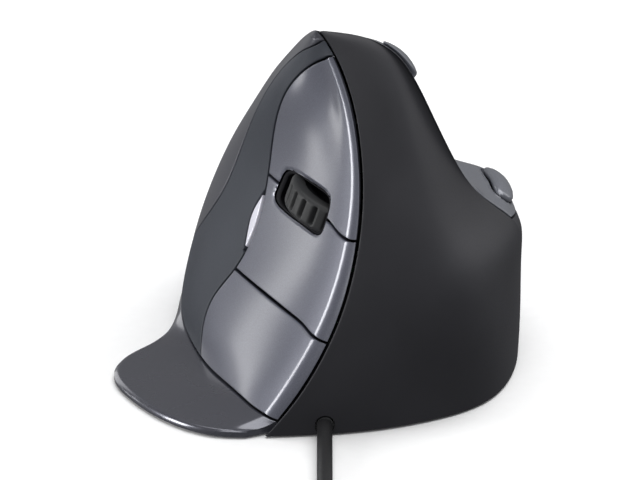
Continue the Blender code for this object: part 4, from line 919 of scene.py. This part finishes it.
def make_wheel():
    """A ribbed tyre: the ribs have round shoulders, and smooth bands run along both sides."""
    centre, axle, out, rolling = wheel_axes()
    hub_centre = centre - out * (WHEEL_RADIUS - WHEEL_PROUD) - rolling * HUB_SHIFT
    half, bore = WHEEL_WIDTH / 2, WHEEL_RADIUS - TYRE_THICK
    per_rib, groove_width, groove_depth, round_edge = 16, 0.13, 0.95, 1.1
    count = RIBS * per_rib
    angles = np.arange(count) * math.tau / count
    phase = (np.arange(count) % per_rib) / per_rib
    groove = np.exp(-((phase - 0.5) / groove_width) ** 2)
    edge = [half, half - 0.15, half - 0.4, half - 0.7, half - 0.95]
    heights = np.concatenate([[-h for h in edge], np.linspace(-half + 1.15, half - 1.15, 7), edge[::-1]])
    sections = []
    for h in heights:
        side = (abs(h) - (half - round_edge)) / round_edge
        shoulder = round_edge * (1 - math.sqrt(max(0.0, 1 - min(1.0, max(0.0, side)) ** 2)))
        ribbed = groove_depth * groove * float(smoothstep(np.array((half - 0.75 - abs(h)) / 0.5)))
        sections.append((WHEEL_RADIUS - shoulder - ribbed, h))
    sections += [(bore, half), (bore, -half)]
    rings = [np.column_stack([radius * np.cos(angles), radius * np.sin(angles), np.full(count, h)])
             for radius, h in sections]
    turn = np.stack([rolling, np.cross(axle, rolling), axle])
    points = np.concatenate(rings) @ turn + hub_centre
    add_piece("wheel_tread", points, ring_faces(len(rings), count, closed=True), RUBBER, "wheel",
              ("wheel_tyre",), 50, tuple(hub_centre))


# ---------------------------------------------------------------- light and floor

def area_light(name, at, toward, size, power, lean=0.0):
    """A rectangular light that the camera doesn't see."""
    data = bpy.data.lights.new(name, "AREA")
    data.shape = "RECTANGLE"
    data.size, data.size_y = size
    data.energy = power
    light = bpy.data.objects.new(name, data)
    bpy.context.scene.collection.objects.link(light)
    light.location = at
    light.rotation_mode = "QUATERNION"
    aim = (Vector(toward) - Vector(at)).to_track_quat("-Z", "Y")
    light.rotation_quaternion = aim @ Matrix.Rotation(lean, 4, "Z").to_quaternion()
    light.visible_camera = False


def make_studio():
    """Pale paper, a dim room, broad soft lights, and two narrow ones that streak the buttons."""
    look, nodes, links, shader, at = new_look("floor_paper")
    fine = noise(nodes, links, at, 400.0, 3.0)
    links.new(ramp(nodes, links, fine, [(0.3, (0.95, 0.95, 0.95)), (0.7, (0.97, 0.97, 0.97))]),
              shader.inputs["Base Color"])
    shader.inputs["Roughness"].default_value = 0.9
    shader.inputs["Specular IOR Level"].default_value = 0.1
    mesh = bpy.data.meshes.new("floor")
    reach = 6
    corners = [(-reach, -reach, 0), (reach, -reach, 0), (reach, reach, 0), (-reach, reach, 0)]
    mesh.from_pydata(corners, [], [(0, 1, 2, 3)])
    mesh.materials.append(look)
    floor = bpy.data.objects.new("floor", mesh)
    bpy.context.scene.collection.objects.link(floor)
    floor.visible_glossy = False
    floor.visible_diffuse = False
    world = bpy.data.worlds.new("studio")
    world.use_nodes = True
    world.node_tree.nodes["Background"].inputs["Color"].default_value = (0.96, 0.97, 1.0, 1)
    world.node_tree.nodes["Background"].inputs["Strength"].default_value = 0.18
    bpy.context.scene.world = world
    middle = (0, 0, 0.035)
    area_light("top", (0.40, 0.20, 1.30), middle, (1.8, 1.8), 25.0)
    area_light("side", (-1.40, -0.18, 0.30), middle, (0.5, 0.7), 13.0)
    area_light("front", (-0.25, -1.40, 0.85), middle, (0.8, 0.6), 4.5)
    area_light("back_left", (-0.26, 0.34, 0.13), (0, 0, 0.05), (0.16, 0.26), 0.16)
    area_light("back_right", (0.45, 0.30, 0.22), (0, 0, 0.04), (0.30, 0.40), 0.4)
    facing = Vector((0.8988, -0.4384, 0.0))
    upper, foot = Vector((-0.1600, 0.0597, 0.041)), Vector((-0.1690, 0.0410, 0.016))
    area_light("strip", upper, upper + facing, (0.012, 0.036), 0.0070)
    area_light("strip_foot", foot, foot + facing, (0.040, 0.013), 0.0068, -0.12)


make_buttons()
make_band()
make_lens()
make_palm()
make_thumb_panel()
make_front_shell()
make_lip()
make_bezel()
make_wheel()
make_studio()
bpy.context.scene.view_settings.view_transform = "Standard"
